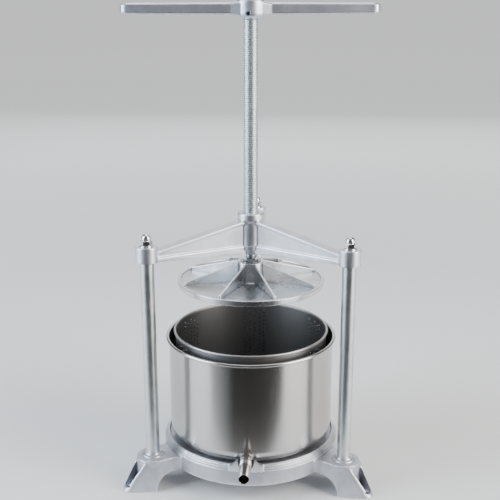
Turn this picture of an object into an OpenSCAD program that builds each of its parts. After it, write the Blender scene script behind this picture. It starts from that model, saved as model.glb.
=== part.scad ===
// Basket wine press: a three-legged cast frame with three steel columns, a
// three-armed crossbeam with a threaded centre boss, a press screw with a tee
// handle, a ribbed press plate that swivels on the screw's end, and a
// perforated basket standing in a juice container with a spout.
// Millimetres, +Z up, -Y to the front where the spout is. The origin is on
// the screw's axis at the level of the feet.

/* [Frame] */
// Distance from the screw axis to each column's axis
column_ring_r = 182; // [178:1:200]
// Height of the three legs' flat top deck above the floor
deck_z = 54; // [50:1:60]
// Height of the underside of the crossbeam's end bosses
beam_z = 388; // [380:1:430]
// Height of the top face of the crossbeam's centre boss
beam_top_z = 448.5; // [440:0.5:490]

/* [Base casting] */
// Outer radius of the ring that the container stands in
ring_r = 148; // [146:0.5:152]
// Inner radius of the ring's raised lip
ring_inner_r = 140.5; // [139:0.5:142]
// Height of the ring's lower edge
ring_bottom_z = 32; // [28:1:40]
// Height of the floor that the container stands on
tray_z = 60; // [58:1:64]
// Height of the ring's lip
lip_z = 66.8; // [64:0.2:72]
// Height of the two ears beside the spout
ear_z = 75; // [70:0.5:80]
// Half the width of the notch that the spout lies in
notch_half_w = 13; // [12:0.5:15]
// Radius of each leg's round lobe
lobe_r = 26.5; // [24:0.5:28]
// Distance from the screw axis to each foot's bolt hole
foot_bolt_r = 225.6; // [222:0.1:230]
// Diameter of each foot's bolt hole
foot_hole_d = 7; // [5:0.5:9]
// Thickness of each foot's pad
pad_t = 6; // [4:0.5:8]

/* [Columns] */
// Diameter of each column
column_d = 22; // [18:1:24]
// Diameter of the threaded stud at each end of a column
stud_d = 10; // [8:1:12]
// Depth of the socket that each column end stands in
socket_depth = 8; // [5:1:10]

/* [Crossbeam] */
// Radius of the three end bosses
end_boss_r = 17.6; // [16:0.2:20]
// Height of each end boss
end_boss_h = 25.5; // [22:0.5:30]
// Radius of the collar on top of the centre boss
collar_r = 21.3; // [20:0.1:24]
// Radius of the centre boss below the collar
barrel_r = 17; // [16:0.5:19]
// Width of the flanges along the top and bottom of each arm
flange_w = 20; // [16:1:22]
// Thickness of the web between an arm's two flanges
web_t = 11; // [6:1:14]

/* [Screw] */
// Outer diameter of the screw's thread
screw_d = 24; // [20:1:26]
// Distance between two turns of the thread, and the travel in one turn
thread_pitch = 3; // [2:0.5:5]
// Height of the screw's lower shoulder with the plate raised
shoulder_z = 378.5; // [376:0.5:380]
// Height of the underside of the handle's hub with the plate raised
hub_z = 752.5; // [700:0.5:800]

/* [Handle] */
// Length of the tee handle from end to end
handle_length = 398; // [300:2:460]
// Turn of the handle about the screw's axis, in degrees
handle_turn = 5.4; // [-90:0.1:90]
// Radius of the handle's hub
hub_r = 23; // [20:0.5:26]
// Height of the handle's hub
hub_h = 29.5; // [26:0.5:34]

/* [Press plate] */
// Radius of the press plate
plate_r = 121; // [116:0.5:122]
// Height of the plate's underside with the plate raised
plate_z = 327; // [325:1:329]
// Number of stiffening ribs
rib_count = 8; // [6:1:10]

/* [Container] */
// Outer radius of the juice container
container_r = 138; // [136:0.5:139]
// Height of the top of its rolled rim above the floor
container_top_z = 239; // [220:1:244]
// Radius of the curve between its wall and its floor
container_corner_r = 26; // [15:1:30]
// Outer diameter of the spout
spout_d = 17; // [14:0.5:18]
// Distance from the screw axis to the spout's open end
spout_reach = 204; // [190:1:220]
// Height of the spout's axis
spout_z = 75.5; // [74:0.5:78]

/* [Basket] */
// Inner radius of the perforated basket
basket_inner_r = 126; // [125:0.5:128]
// Height of the top of its rolled rim above the floor
basket_top_z = 249; // [230:1:254]
// Number of vertical bands of drain holes
band_count = 6; // [0:1:8]
// Diameter of each drain hole
drain_hole_d = 3; // [2:0.5:4]
// Distance between two holes of one column
drain_row_pitch = 7.4; // [6:0.1:12]

/* [Hidden] */
$fn = 96;

eps = 0.01;
slide_gap = 0.05;        // radial gap of a piece that slides or turns in another
clearance_gap = 0.25;    // radial gap of a stud in its hole
swivel_gap = 0.1;        // play of the plate between its two washers
leg_angles = [210, 330, 90];
LEFT = 0;
RIGHT = 1;
REAR = 2;

cast_colour = [0.74, 0.75, 0.78];
zinc_colour = [0.78, 0.82, 0.83];
inox_colour = [0.66, 0.65, 0.64];
plate_colour = [0.70, 0.71, 0.73];

// Fasteners: M10 on the columns, M16 on the screw's lower end.
m10_flats = 17;
m10_nut_h = 8;
m10_washer_r = 10.5;
m10_washer_t = 2;
acorn_h = 18;
acorn_dome_r = 7.5;
m16_flats = 24;
m16_nut_h = 8;
m16_washer_r = 15;
m16_washer_t = 3;
swivel_spigot_d = 16;

// Base casting
step_count = 3;
step_w = 1.8;
step_h = (lip_z - 57.5) / step_count;
tray_t = 5;
wall_t = 5.5;
under_rib_h = 9;
under_rib_t = 5;
hub_pad_r = 24;
leg_half_w = 26.5;
foot_half_w = 31;
foot_inner_r = 188.6;
pad_tip_r = 15;
pad_tip_x = 221.5;
pad_rim_w = 3;
flank_t = 4.6;
arch_top_r = 155;
neck_fillet_r = 22;
slope_top = [203, 50];
slope_foot = [230.5, 9];
column_boss_r = [17, 13];
column_boss_z = [57, 60.5];
core_r = 19.5;
core_z = 42;
deck_t = 5;
leg_wall = 5;

// Columns
column_foot_z = column_boss_z[1] - 5.5;
column_head_z = beam_z + socket_depth;
end_boss_top_z = beam_z + end_boss_h;
stud_low_z = core_z - m10_washer_t - m10_nut_h - 1.5;
stud_top_z = end_boss_top_z + m10_washer_t + 12;

// Crossbeam
collar_h = 10.5;
collar_flare_h = 6;
collar_edge = 1.6;
lip_r = barrel_r + 2.2;
arm_low_z = 381;
flange_t = 5;
flange_low_t = 6.5;
arm_top_in_z = 436;
arm_top_out_z = 405;
arm_in_r = 8;
arm_out_r = column_ring_r - end_boss_r + 3;

// Screw and handle
spigot_top_d = 18;
spigot_top_h = 22;
neck_low_z = plate_z + 0.5;
arm_h_in = 19;
arm_h_out = 17;
arm_w_in = 25;
arm_w_out = 22;
root_h = 24;
root_w = 34;
root_reach = 9;
root_sink = 0.6;
handle_axis_z = hub_z + 15;
pin_d = 6;
pin_z = hub_z + 8.5;
pin_turn = 263;
pin_recess = 7;

// Press plate
plate_t = 7;
plate_lip_w = 4.5;
plate_lip_h = 2;
plate_hub_top_z = 366;
plate_hub_r = [25.5, 22];
swivel_seat_z = 363;
lower_seat_z = plate_z + 12;
top_washer_z = swivel_seat_z + swivel_gap;
low_washer_z = lower_seat_z - swivel_gap - m16_washer_t;
recess_r = 17.5;
rib_t = 3.2;
rib_end_r = 112.5;
rib_end_h = 5.5;
rib_bead_r = 2.3;

// Sheet-metal vessels
sheet_t = 1;
container_bead_r = 2.4;
basket_bead_r = 2.2;
basket_corner_r = 12;
basket_foot_h = 4;
basket_foot_r = 6;
basket_floor_z = tray_z + sheet_t + basket_foot_h;
basket_r = basket_inner_r + sheet_t;
spout_wall = 1;
spout_root_d = spout_d + 0.3;
spout_root_l = 37.5;
hose_ring_z = 24;
spout_collar_r = 10.4;
spout_collar_l = 11;
band_columns = 5;
band_column_pitch = 8.8;
first_row_z = basket_top_z - 12.5;
row_count = 22;

function on_ring(angle, r, z = 0) = [r * cos(angle), r * sin(angle), z];
function hex_r(flats) = flats / sqrt(3);

// A hexagonal prism with its corners chamfered as a nut's are.
module hex_prism(flats, h) {
    intersection() {
        cylinder(r = hex_r(flats), h = h, $fn = 6);
        rotate_extrude()
            polygon([[0, 0], [flats / 2 - 0.3, 0], [hex_r(flats), 1.1],
                     [hex_r(flats), h - 1.1], [flats / 2 - 0.3, h], [0, h]]);
    }
}

module hex_nut(flats, h, bore_r) {
    difference() {
        hex_prism(flats, h);
        translate([0, 0, -eps]) cylinder(r = bore_r, h = h + 2 * eps);
    }
}

module washer(r, t, bore_r) {
    difference() {
        cylinder(r = r, h = t);
        translate([0, 0, -eps]) cylinder(r = bore_r, h = t + 2 * eps);
    }
}

// ---- Base casting ----

// The ring: a plain wall whose outer top corner is cut into three steps.
module ring_wall() {
    rotate_extrude($fn = 180)
        polygon(concat(
            [[ring_inner_r, tray_z - tray_t], [ring_r - wall_t, tray_z - tray_t],
             [ring_r - wall_t, ring_bottom_z], [ring_r + 0.5, ring_bottom_z],
             [ring_r, lip_z - step_count * step_h]],
            [for (i = [1 : step_count]) each
                [[ring_r - i * step_w, lip_z - (step_count - i + 1) * step_h],
                 [ring_r - i * step_w, lip_z - (step_count - i) * step_h]]],
            [[ring_inner_r, lip_z]]));
}

// The wall is full where the spout leaves, and rises into an ear on each side.
module spout_ears() {
    front_half_w = 27;
    rise = ear_z - lip_z;
    intersection() {
        difference() {
            translate([0, 0, ring_bottom_z]) cylinder(r = ring_r - 0.2, h = 60, $fn = 180);
            translate([0, 0, ring_bottom_z - 1]) cylinder(r = ring_inner_r, h = 62, $fn = 180);
        }
        translate([0, -ring_r + 20, 0]) rotate([90, 0, 0])
            linear_extrude(40)
                polygon(concat(
                    [[-front_half_w, tray_z - 3], [front_half_w, tray_z - 3]],
                    [for (a = [0 : 15 : 90])
                        [front_half_w - (front_half_w - notch_half_w - 3) * sin(a),
                         lip_z + rise * (1 - cos(a))]],
                    [for (a = [90 : -15 : 0])
                        [-front_half_w + (front_half_w - notch_half_w - 3) * sin(a),
                         lip_z + rise * (1 - cos(a))]]));
    }
}

// The tray floor, with its ribs and hub underneath.
module tray_floor() {
    translate([0, 0, tray_z - tray_t]) cylinder(r = ring_inner_r + 2, h = tray_t, $fn = 180);
    translate([0, 0, tray_z - tray_t - under_rib_h]) cylinder(r = hub_pad_r, h = under_rib_h + 1);
    for (a = [0 : 60 : 300])
        rotate([0, 0, a + 30])
            translate([0, -under_rib_t / 2, tray_z - tray_t - under_rib_h])
                cube([ring_r - wall_t + 1, under_rib_t, under_rib_h + 1]);
}

// A leg seen from the side: its deck, what bounds it outside, and its inner arch.
module leg_side(outer) {
    arch_r = foot_inner_r - arch_top_r;
    rotate([90, 0, 0]) linear_extrude(80, center = true)
        polygon(concat(
            [[ring_r - 4, deck_z]], outer,
            [for (a = [0 : 10 : 90])
                [arch_top_r + arch_r * cos(a), (ring_bottom_z - 1) * sin(a)]],
            [[ring_r - 4, ring_bottom_z - 1]]));
}

// A leg's outline from above: neck, lobe and a foot that tapers to a round tip.
module leg_outline() {
    hull() {
        translate([ring_r - 6, 0, deck_z - 1])
            linear_extrude(1) square([2, 2 * leg_half_w], center = true);
        translate([column_ring_r, 0, deck_z - 1]) cylinder(r = leg_half_w - 0.5, h = 1, $fn = 32);
        linear_extrude(1)
            translate([foot_inner_r - 50, -foot_half_w]) square([50, 2 * foot_half_w]);
        translate([pad_tip_x, 0, 0]) cylinder(r = pad_tip_r, h = 1, $fn = 32);
    }
}

// The hollow over the pad, which leaves a thin wall on each side of the foot.
module foot_recess() {
    hull() {
        translate([column_ring_r, 0, deck_z + 2])
            cylinder(r = leg_half_w - flank_t, h = 1, $fn = 32);
        translate([foot_inner_r - 12, flank_t - foot_half_w, pad_t])
            cube([12, 2 * (foot_half_w - flank_t), 1]);
        translate([pad_tip_x, 0, pad_t]) cylinder(r = pad_tip_r - pad_rim_w, h = 1, $fn = 32);
    }
}

module leg_solid() {
    difference() {
        intersection() {
            leg_side([slope_top + [1, deck_z - slope_top[1]], slope_top, slope_foot,
                      [pad_tip_x + pad_tip_r, pad_t], [pad_tip_x + pad_tip_r, 0]]);
            leg_outline();
        }
        foot_recess();
    }
    intersection() {
        leg_side([[column_ring_r + 40, deck_z], [column_ring_r + 40, 0]]);
        translate([column_ring_r, 0, 0.5]) cylinder(r = lobe_r + 0.5, h = deck_z - 0.5);
    }
}

// Concave fillets between a leg's two sides and the ring.
module neck_fillets() {
    sunk_r = ring_r - 2;
    centre_w = leg_half_w + neck_fillet_r - 0.3;
    centre_x = sqrt(pow(sunk_r + neck_fillet_r, 2) - pow(centre_w, 2));
    touch = [centre_x, centre_w] * sunk_r / (sunk_r + neck_fillet_r);
    for (side = [-1, 1])
        translate([0, 0, ring_bottom_z + 0.5])
            linear_extrude(deck_z - ring_bottom_z - 1)
                difference() {
                    polygon([[touch[0] - 5, side * (touch[1] - 0.2)],
                             [touch[0] + 0.2, side * touch[1]],
                             [centre_x, side * (leg_half_w + 0.5)],
                             [centre_x, side * (leg_half_w - 2)],
                             [touch[0] - 5, side * (leg_half_w - 2)]]);
                    translate([centre_x, side * centre_w]) circle(r = neck_fillet_r, $fn = 96);
                }
}

// What is cut from a leg: core, column socket, stud hole and bolt hole.
module leg_cuts() {
    translate([column_ring_r, 0, -1]) {
        cylinder(r = core_r, h = core_z + 1);
        cylinder(d = stud_d + 2 * clearance_gap, h = 80);
    }
    translate([column_ring_r, 0, column_foot_z])
        cylinder(d = column_d + 2 * slide_gap, h = 20);
    translate([ring_r - wall_t - 8, -leg_half_w + leg_wall, -1])
        cube([column_ring_r - ring_r + wall_t + 4, 2 * (leg_half_w - leg_wall), deck_z - deck_t + 1]);
    translate([foot_bolt_r, 0, -1]) cylinder(d = foot_hole_d, h = pad_t + 20);
}

module column_boss() {
    translate([column_ring_r, 0, deck_z - 1]) {
        cylinder(r = column_boss_r[0], h = column_boss_z[0] - deck_z + 1);
        cylinder(r = column_boss_r[1], h = column_boss_z[1] - deck_z + 1);
    }
}

module base_casting() {
    color(cast_colour)
    difference() {
        union() {
            ring_wall();
            tray_floor();
            spout_ears();
            for (a = leg_angles)
                rotate([0, 0, a]) {
                    leg_solid();
                    neck_fillets();
                    column_boss();
                    translate([column_ring_r, 0, core_z])
                        cylinder(r = core_r + 2, h = deck_z - core_z - 2);
                }
        }
        for (a = leg_angles) rotate([0, 0, a]) leg_cuts();
        hull() {
            for (h = [0, 30])
                translate([0, -ring_inner_r + 4, spout_z - 2.5 + h])
                    rotate([90, 0, 0]) cylinder(r = notch_half_w, h = 30, $fn = 64);
        }
    }
}

// ---- Columns and their fasteners ----

module column(i) {
    color(zinc_colour)
    translate(on_ring(leg_angles[i], column_ring_r)) {
        translate([0, 0, column_foot_z])
            cylinder(d = column_d, h = column_head_z - column_foot_z);
        translate([0, 0, stud_low_z]) cylinder(d = stud_d, h = column_foot_z - stud_low_z + 1);
        translate([0, 0, column_head_z - 1]) cylinder(d = stud_d, h = stud_top_z - column_head_z + 1);
    }
}

module foot_washer(i) {
    color(zinc_colour)
    translate(on_ring(leg_angles[i], column_ring_r, core_z - m10_washer_t))
        washer(m10_washer_r, m10_washer_t, stud_d / 2 + clearance_gap);
}

module foot_nut(i) {
    color(zinc_colour)
    translate(on_ring(leg_angles[i], column_ring_r, core_z - m10_washer_t - m10_nut_h))
        hex_nut(m10_flats, m10_nut_h, stud_d / 2 + slide_gap);
}

module beam_washer(i) {
    color(zinc_colour)
    translate(on_ring(leg_angles[i], column_ring_r, end_boss_top_z))
        washer(m10_washer_r, m10_washer_t, stud_d / 2 + clearance_gap);
}

// A domed cap nut: hexagon, short neck and a round crown over a blind bore.
module acorn_nut(i, turn) {
    color(zinc_colour)
    translate(on_ring(leg_angles[i], column_ring_r, end_boss_top_z + m10_washer_t))
    rotate([0, 0, turn])
    difference() {
        union() {
            hex_prism(m10_flats, m10_nut_h);
            cylinder(r = acorn_dome_r, h = acorn_h - acorn_dome_r);
            translate([0, 0, acorn_h - acorn_dome_r]) sphere(r = acorn_dome_r);
        }
        translate([0, 0, -eps]) cylinder(r = stud_d / 2 + slide_gap, h = 14);
    }
}

// ---- Crossbeam ----

module arm_slice(width, points) {
    rotate([90, 0, 0]) linear_extrude(width, center = true) polygon(points);
}

function arm_top_z(x) = arm_top_in_z + (arm_top_out_z - arm_top_in_z)
                        * (x - barrel_r) / (arm_out_r - barrel_r);

// One arm: a web with a sloping top flange and a nearly level bottom flange.
module beam_arm() {
    low_in = arm_low_z + 0.6;
    low_out = beam_z + 0.6;
    arm_slice(web_t, [[arm_in_r, low_in], [arm_out_r, low_out],
                      [arm_out_r, arm_top_z(arm_out_r)], [arm_in_r, arm_top_z(arm_in_r)]]);
    arm_slice(flange_w, [[arm_in_r, arm_top_z(arm_in_r) - flange_t],
                         [arm_out_r, arm_top_z(arm_out_r) - flange_t],
                         [arm_out_r, arm_top_z(arm_out_r)], [arm_in_r, arm_top_z(arm_in_r)]]);
    arm_slice(flange_w, [[arm_in_r, low_in], [arm_out_r, low_out],
                         [arm_out_r, beam_z + flange_low_t], [arm_in_r, beam_z + flange_low_t]]);
    translate([column_ring_r, 0, beam_z]) cylinder(r = end_boss_r, h = end_boss_h);
}

// The collar: it flares out of the barrel and its top edge is broken.
module beam_collar() {
    low_z = beam_top_z - collar_h;
    rotate_extrude()
        polygon([[0, low_z - collar_flare_h], [barrel_r, low_z - collar_flare_h],
                 [collar_r, low_z], [collar_r, beam_top_z - collar_edge],
                 [collar_r - collar_edge, beam_top_z], [0, beam_top_z]]);
}

module crossbeam() {
    color(cast_colour)
    difference() {
        union() {
            translate([0, 0, arm_low_z]) cylinder(r = barrel_r, h = beam_top_z - arm_low_z);
            beam_collar();
            translate([0, 0, beam_z]) cylinder(r = lip_r, h = flange_low_t);
            for (a = leg_angles) rotate([0, 0, a]) beam_arm();
        }
        translate([0, 0, arm_low_z - 1])
            cylinder(d = screw_d + 2 * slide_gap, h = beam_top_z - arm_low_z + 2);
        for (a = leg_angles)
            translate(on_ring(a, column_ring_r, beam_z - 1)) {
                cylinder(d = column_d + 2 * slide_gap, h = socket_depth + 1);
                cylinder(d = stud_d + 2 * clearance_gap, h = end_boss_h + 2);
            }
    }
}

// ---- Screw, handle and swivel ----

// The screw at its thread's outer diameter, with a spigot at each end.
module press_screw() {
    color(zinc_colour)
    difference() {
        rotate_extrude()
            polygon([[0, neck_low_z], [swivel_spigot_d / 2 - 1, neck_low_z],
                     [swivel_spigot_d / 2, neck_low_z + 1], [swivel_spigot_d / 2, shoulder_z],
                     [screw_d / 2 - 1.5, shoulder_z], [screw_d / 2, shoulder_z + 1.5],
                     [screw_d / 2, hub_z], [spigot_top_d / 2, hub_z],
                     [spigot_top_d / 2, hub_z + spigot_top_h], [0, hub_z + spigot_top_h]]);
        pin_hole(pin_d / 2 + slide_gap);
    }
}

module pin_hole(r) {
    translate([0, 0, pin_z]) rotate([0, 0, pin_turn]) rotate([0, 90, 0])
        cylinder(r = r, h = 3 * hub_r, center = true);
}

// A rounded bar section, wider than it is high, standing across X.
module bar_end(w, h) {
    rotate([90, 0, 90]) linear_extrude(0.5) intersection() {
        square([w, h], center = true);
        scale([1, 0.86]) circle(d = w * 1.16, $fn = 32);
    }
}

module handle() {
    half = handle_length / 2;
    color(cast_colour)
    difference() {
        rotate([0, 0, handle_turn])
        union() {
            rotate_extrude()
                polygon([[0, hub_z], [13.5, hub_z], [18, hub_z + 1.2], [hub_r - 1, hub_z + 4.5],
                         [hub_r, hub_z + 8], [hub_r, hub_z + hub_h - 4],
                         [hub_r - 1.5, hub_z + hub_h - 1], [hub_r - 4, hub_z + hub_h],
                         [0, hub_z + hub_h]]);
            for (side = [0, 180])
                rotate([0, 0, side]) {
                    translate([0, 0, handle_axis_z])
                    hull() {
                        translate([hub_r - root_reach, 0, 0]) bar_end(root_w, root_h);
                        translate([hub_r + root_reach, 0, 0])
                            bar_end(arm_w_in - root_sink, arm_h_in - root_sink);
                    }
                    translate([0, 0, handle_axis_z])
                    hull() {
                        translate([12, 0, 0]) bar_end(arm_w_in, arm_h_in);
                        translate([half - arm_w_out / 2 - 0.5, 0, 0]) bar_end(arm_w_out, arm_h_out);
                        translate([half - arm_w_out / 2, 0, 0])
                            cylinder(d = arm_w_out - 4, h = arm_h_out - 2, center = true, $fn = 32);
                        translate([half - arm_w_out / 2, 0, 0])
                            cylinder(d = arm_w_out, h = arm_h_out - 7, center = true, $fn = 32);
                    }
                }
        }
        translate([0, 0, hub_z - 1]) cylinder(d = spigot_top_d + 2 * slide_gap, h = spigot_top_h + 1.5);
        pin_hole(pin_d / 2 + slide_gap);
    }
}

// A rolled spring pin, open along one side, that locks the handle to the screw.
module handle_pin() {
    color(zinc_colour)
    translate([0, 0, pin_z]) rotate([0, 0, pin_turn]) rotate([0, 90, 0])
        difference() {
            cylinder(d = pin_d, h = 2 * (hub_r - pin_recess), center = true);
            cylinder(d = pin_d - 2.4, h = 3 * hub_r, center = true);
            translate([0, -0.5, -2 * hub_r]) cube([pin_d, 1, 4 * hub_r]);
        }
}

module swivel_washer(z) {
    color(zinc_colour)
    translate([0, 0, z]) washer(m16_washer_r, m16_washer_t, swivel_spigot_d / 2 + clearance_gap);
}

module swivel_nut(z, turn) {
    color(zinc_colour)
    translate([0, 0, z]) rotate([0, 0, turn])
        hex_nut(m16_flats, m16_nut_h, swivel_spigot_d / 2 + slide_gap);
}

// ---- Press plate ----

module plate_rib() {
    rotate([90, 0, 0]) linear_extrude(rib_t, center = true)
        polygon([[plate_hub_r[1] - 3, plate_z + plate_t - 1],
                 [rib_end_r, plate_z + plate_t - 1],
                 [rib_end_r, plate_z + plate_t + rib_end_h],
                 [plate_hub_r[1] - 3, plate_hub_top_z - 1]]);
    translate([rib_end_r, 0, plate_z + plate_t - 1]) cylinder(r = rib_bead_r, h = rib_end_h + 1.5);
}

module press_plate() {
    floor_z = plate_z + plate_t;
    color(plate_colour)
    difference() {
        union() {
            rotate_extrude($fn = 180)
                polygon([[0, plate_z], [plate_r - 1, plate_z], [plate_r, plate_z + 1],
                         [plate_r, floor_z + plate_lip_h], [plate_r - plate_lip_w, floor_z + plate_lip_h],
                         [plate_r - plate_lip_w - 1, floor_z], [plate_hub_r[0], floor_z],
                         [plate_hub_r[1], plate_hub_top_z], [0, plate_hub_top_z]]);
            for (i = [0 : rib_count - 1]) rotate([0, 0, (i + 0.5) * 360 / rib_count]) plate_rib();
        }
        translate([0, 0, swivel_seat_z]) cylinder(r = recess_r, h = 20);
        translate([0, 0, plate_z - 1]) cylinder(r = recess_r, h = lower_seat_z - plate_z + 1);
        translate([0, 0, plate_z - 1]) cylinder(d = swivel_spigot_d + 2 * slide_gap, h = 60);
    }
}

// ---- Container and basket ----

// The profile of a round vessel's sheet: floor, corner curve, wall and rolled rim.
module vessel_profile(r, floor_z, top_z, corner_r, bead_r, bead_out) {
    bead_c = [r + bead_out, top_z - bead_r];
    difference() {
        union() {
            translate([0, floor_z]) square([r - corner_r, sheet_t]);
            intersection() {
                translate([r - corner_r, floor_z + corner_r]) difference() {
                    circle(r = corner_r, $fn = 96);
                    circle(r = corner_r - sheet_t, $fn = 96);
                }
                translate([r - corner_r, floor_z]) square([corner_r, corner_r]);
            }
            translate([r - sheet_t, floor_z + corner_r])
                square([sheet_t, top_z - bead_r - floor_z - corner_r]);
            translate(bead_c) circle(r = bead_r, $fn = 48);
        }
        translate([-10, 0]) square([10, top_z]);
    }
}

module container_shell() {
    color(inox_colour)
    difference() {
        rotate_extrude($fn = 180)
            vessel_profile(container_r, tray_z, container_top_z, container_corner_r,
                           container_bead_r, container_bead_r - 0.2);
        translate([0, -container_r + 25, spout_z]) rotate([90, 0, 0])
            cylinder(d = spout_root_d + 2 * slide_gap, h = 40);
    }
}

// The outside of the container as one solid, for fitting what is welded on.
module container_envelope(gap) {
    translate([0, 0, tray_z])
    rotate_extrude($fn = 180)
        difference() {
            union() {
                square([container_r - container_corner_r + gap, 60]);
                translate([0, container_corner_r]) square([container_r + gap, 60]);
                translate([container_r - container_corner_r, container_corner_r])
                    circle(r = container_corner_r + gap, $fn = 96);
            }
            translate([-300, -10]) square([300, 200]);
        }
}

// The weld collar round the spout, shaped to the container's wall behind it.
module spout_collar() {
    color(inox_colour)
    difference() {
        translate([0, -container_r + 10, spout_z]) rotate([90, 0, 0])
            cylinder(r1 = spout_collar_r, r2 = spout_d / 2 + 0.8, h = spout_collar_l + 10);
        container_envelope(slide_gap);
        translate([0, 0, spout_z]) rotate([90, 0, 0])
            cylinder(d = spout_root_d + 2 * slide_gap, h = 300);
    }
}

// A plain pipe, drawn down a little past its three raised hose rings.
module spout_pipe() {
    inner_y = container_r - 9;
    length = spout_reach - inner_y;
    color(inox_colour)
    translate([0, -inner_y, spout_z]) rotate([90, 0, 0])
        difference() {
            union() {
                cylinder(d = spout_d, h = length);
                cylinder(d = spout_root_d, h = spout_root_l);
                for (i = [0 : 2])
                    translate([0, 0, hose_ring_z + 5 * i])
                        cylinder(r1 = spout_d / 2, r2 = spout_d / 2 + 0.6, h = 3);
            }
            translate([0, 0, -1]) cylinder(d = spout_d - 2 * spout_wall, h = length + 2);
        }
}

// One band of drain holes: five columns, every second one set down by half a row.
module drain_band() {
    for (c = [0 : band_columns - 1], row = [0 : row_count - 1])
        rotate([0, 0, (c - (band_columns - 1) / 2) * band_column_pitch / basket_r * 180 / PI])
            translate([0, -basket_r, first_row_z - (row + (c % 2) / 2) * drain_row_pitch])
                rotate([90, 0, 0]) cylinder(d = drain_hole_d, h = 6, center = true, $fn = 16);
}

module basket_shell() {
    color(inox_colour)
    difference() {
        union() {
            rotate_extrude($fn = 180)
                vessel_profile(basket_r, basket_floor_z, basket_top_z, basket_corner_r,
                               basket_bead_r, 0.5);
            for (a = [0 : 60 : 300])
                rotate([0, 0, a]) translate([95, 0, tray_z + sheet_t])
                    cylinder(r = basket_foot_r, h = basket_foot_h + 0.5);
        }
        if (band_count > 0)
            for (b = [0 : band_count - 1]) rotate([0, 0, b * 360 / band_count]) drain_band();
    }
}

// ---- Assembly ----

base_casting();
column(LEFT);  // column_left
column(RIGHT);  // column_right
column(REAR);  // column_rear
foot_washer(LEFT);  // foot_washer_left
foot_washer(RIGHT);  // foot_washer_right
foot_washer(REAR);  // foot_washer_rear
foot_nut(LEFT);  // foot_nut_left
foot_nut(RIGHT);  // foot_nut_right
foot_nut(REAR);  // foot_nut_rear
crossbeam();
beam_washer(LEFT);  // beam_washer_left
beam_washer(RIGHT);  // beam_washer_right
beam_washer(REAR);  // beam_washer_rear
acorn_nut(LEFT, 8);  // acorn_nut_left
acorn_nut(RIGHT, 30);  // acorn_nut_right
acorn_nut(REAR, 19);  // acorn_nut_rear
press_screw();
swivel_nut(top_washer_z + m16_washer_t, 4);  // swivel_jam_nut
swivel_washer(top_washer_z);  // swivel_top_washer
swivel_washer(low_washer_z);  // swivel_bottom_washer
swivel_nut(low_washer_z - m16_nut_h, 0);  // swivel_lock_nut
handle();
handle_pin();
press_plate();
container_shell();
spout_collar();
spout_pipe();
basket_shell();
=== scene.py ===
import math

import bmesh
import bpy
from mathutils import Matrix, Vector


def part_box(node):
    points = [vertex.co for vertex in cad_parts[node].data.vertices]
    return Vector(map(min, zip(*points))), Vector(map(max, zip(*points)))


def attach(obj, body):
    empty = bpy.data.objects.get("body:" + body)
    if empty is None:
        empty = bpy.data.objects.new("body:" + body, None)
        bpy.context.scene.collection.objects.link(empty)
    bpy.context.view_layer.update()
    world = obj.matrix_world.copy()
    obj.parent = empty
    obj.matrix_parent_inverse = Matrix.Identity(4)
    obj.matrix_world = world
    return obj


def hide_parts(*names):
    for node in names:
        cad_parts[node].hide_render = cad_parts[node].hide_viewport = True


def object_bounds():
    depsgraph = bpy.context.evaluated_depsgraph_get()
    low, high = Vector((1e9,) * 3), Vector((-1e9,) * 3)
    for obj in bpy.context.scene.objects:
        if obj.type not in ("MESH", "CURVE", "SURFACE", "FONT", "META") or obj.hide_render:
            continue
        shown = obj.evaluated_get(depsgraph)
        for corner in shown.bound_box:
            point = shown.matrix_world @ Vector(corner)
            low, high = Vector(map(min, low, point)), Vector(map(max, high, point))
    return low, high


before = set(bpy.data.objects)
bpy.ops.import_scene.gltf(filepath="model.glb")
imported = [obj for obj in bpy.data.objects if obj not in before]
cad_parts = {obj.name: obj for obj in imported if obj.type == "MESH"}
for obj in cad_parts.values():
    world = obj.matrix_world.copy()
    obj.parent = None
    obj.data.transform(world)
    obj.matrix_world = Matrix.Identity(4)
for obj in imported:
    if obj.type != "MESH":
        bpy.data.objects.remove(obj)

cad_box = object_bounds()

# ---- Camera ----
# The press is seen from the front, a hand's width above its crossbeam, and a
# little from its right-hand side, with a long lens.

EYE = Vector((0.0788, -1.4849, 0.8136))
EYE_TURN = math.radians(3.04)
EYE_PITCH = math.radians(17.1)

lens = bpy.data.cameras.new("camera")
lens.lens = 67.68
lens.sensor_width = 36
lens.shift_x = -0.0015
lens.shift_y = 0.032
lens.clip_end = 200
camera = bpy.data.objects.new("camera", lens)
camera.matrix_world = (
    Matrix.Translation(EYE)
    @ Matrix.Rotation(EYE_TURN, 4, "Z")
    @ Matrix.Rotation(math.pi / 2 - EYE_PITCH, 4, "X")
)
bpy.context.collection.objects.link(camera)
bpy.context.scene.camera = camera


# ---- Base casting ----
# One aluminium sand casting: a ring with a stepped lip that the container
# stands in, a tray floor, and three hollow legs with a bolt pad at each toe.
# It is blasted after casting, which leaves a fine even grain and soft edges.

MM = 0.001
COLUMN_ANGLES = [math.radians(a) for a in (210, 330, 90)]
COLUMN_CIRCLE = 182
DECK_Z = 54

RING_R = 148
RING_LOW_Z = 32
LIP_Z = 66.8
LIP_INNER_R = 140.5
STEP_COUNT = 3
STEP_W = 1.8
STEP_H = 3.1
WALL_PROUD = 0.35
WALL_DRAFT = 0.5
FRONT_HALF_W = 27
NOTCH_HALF_W = 13
EAR_Z = 75


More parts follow.
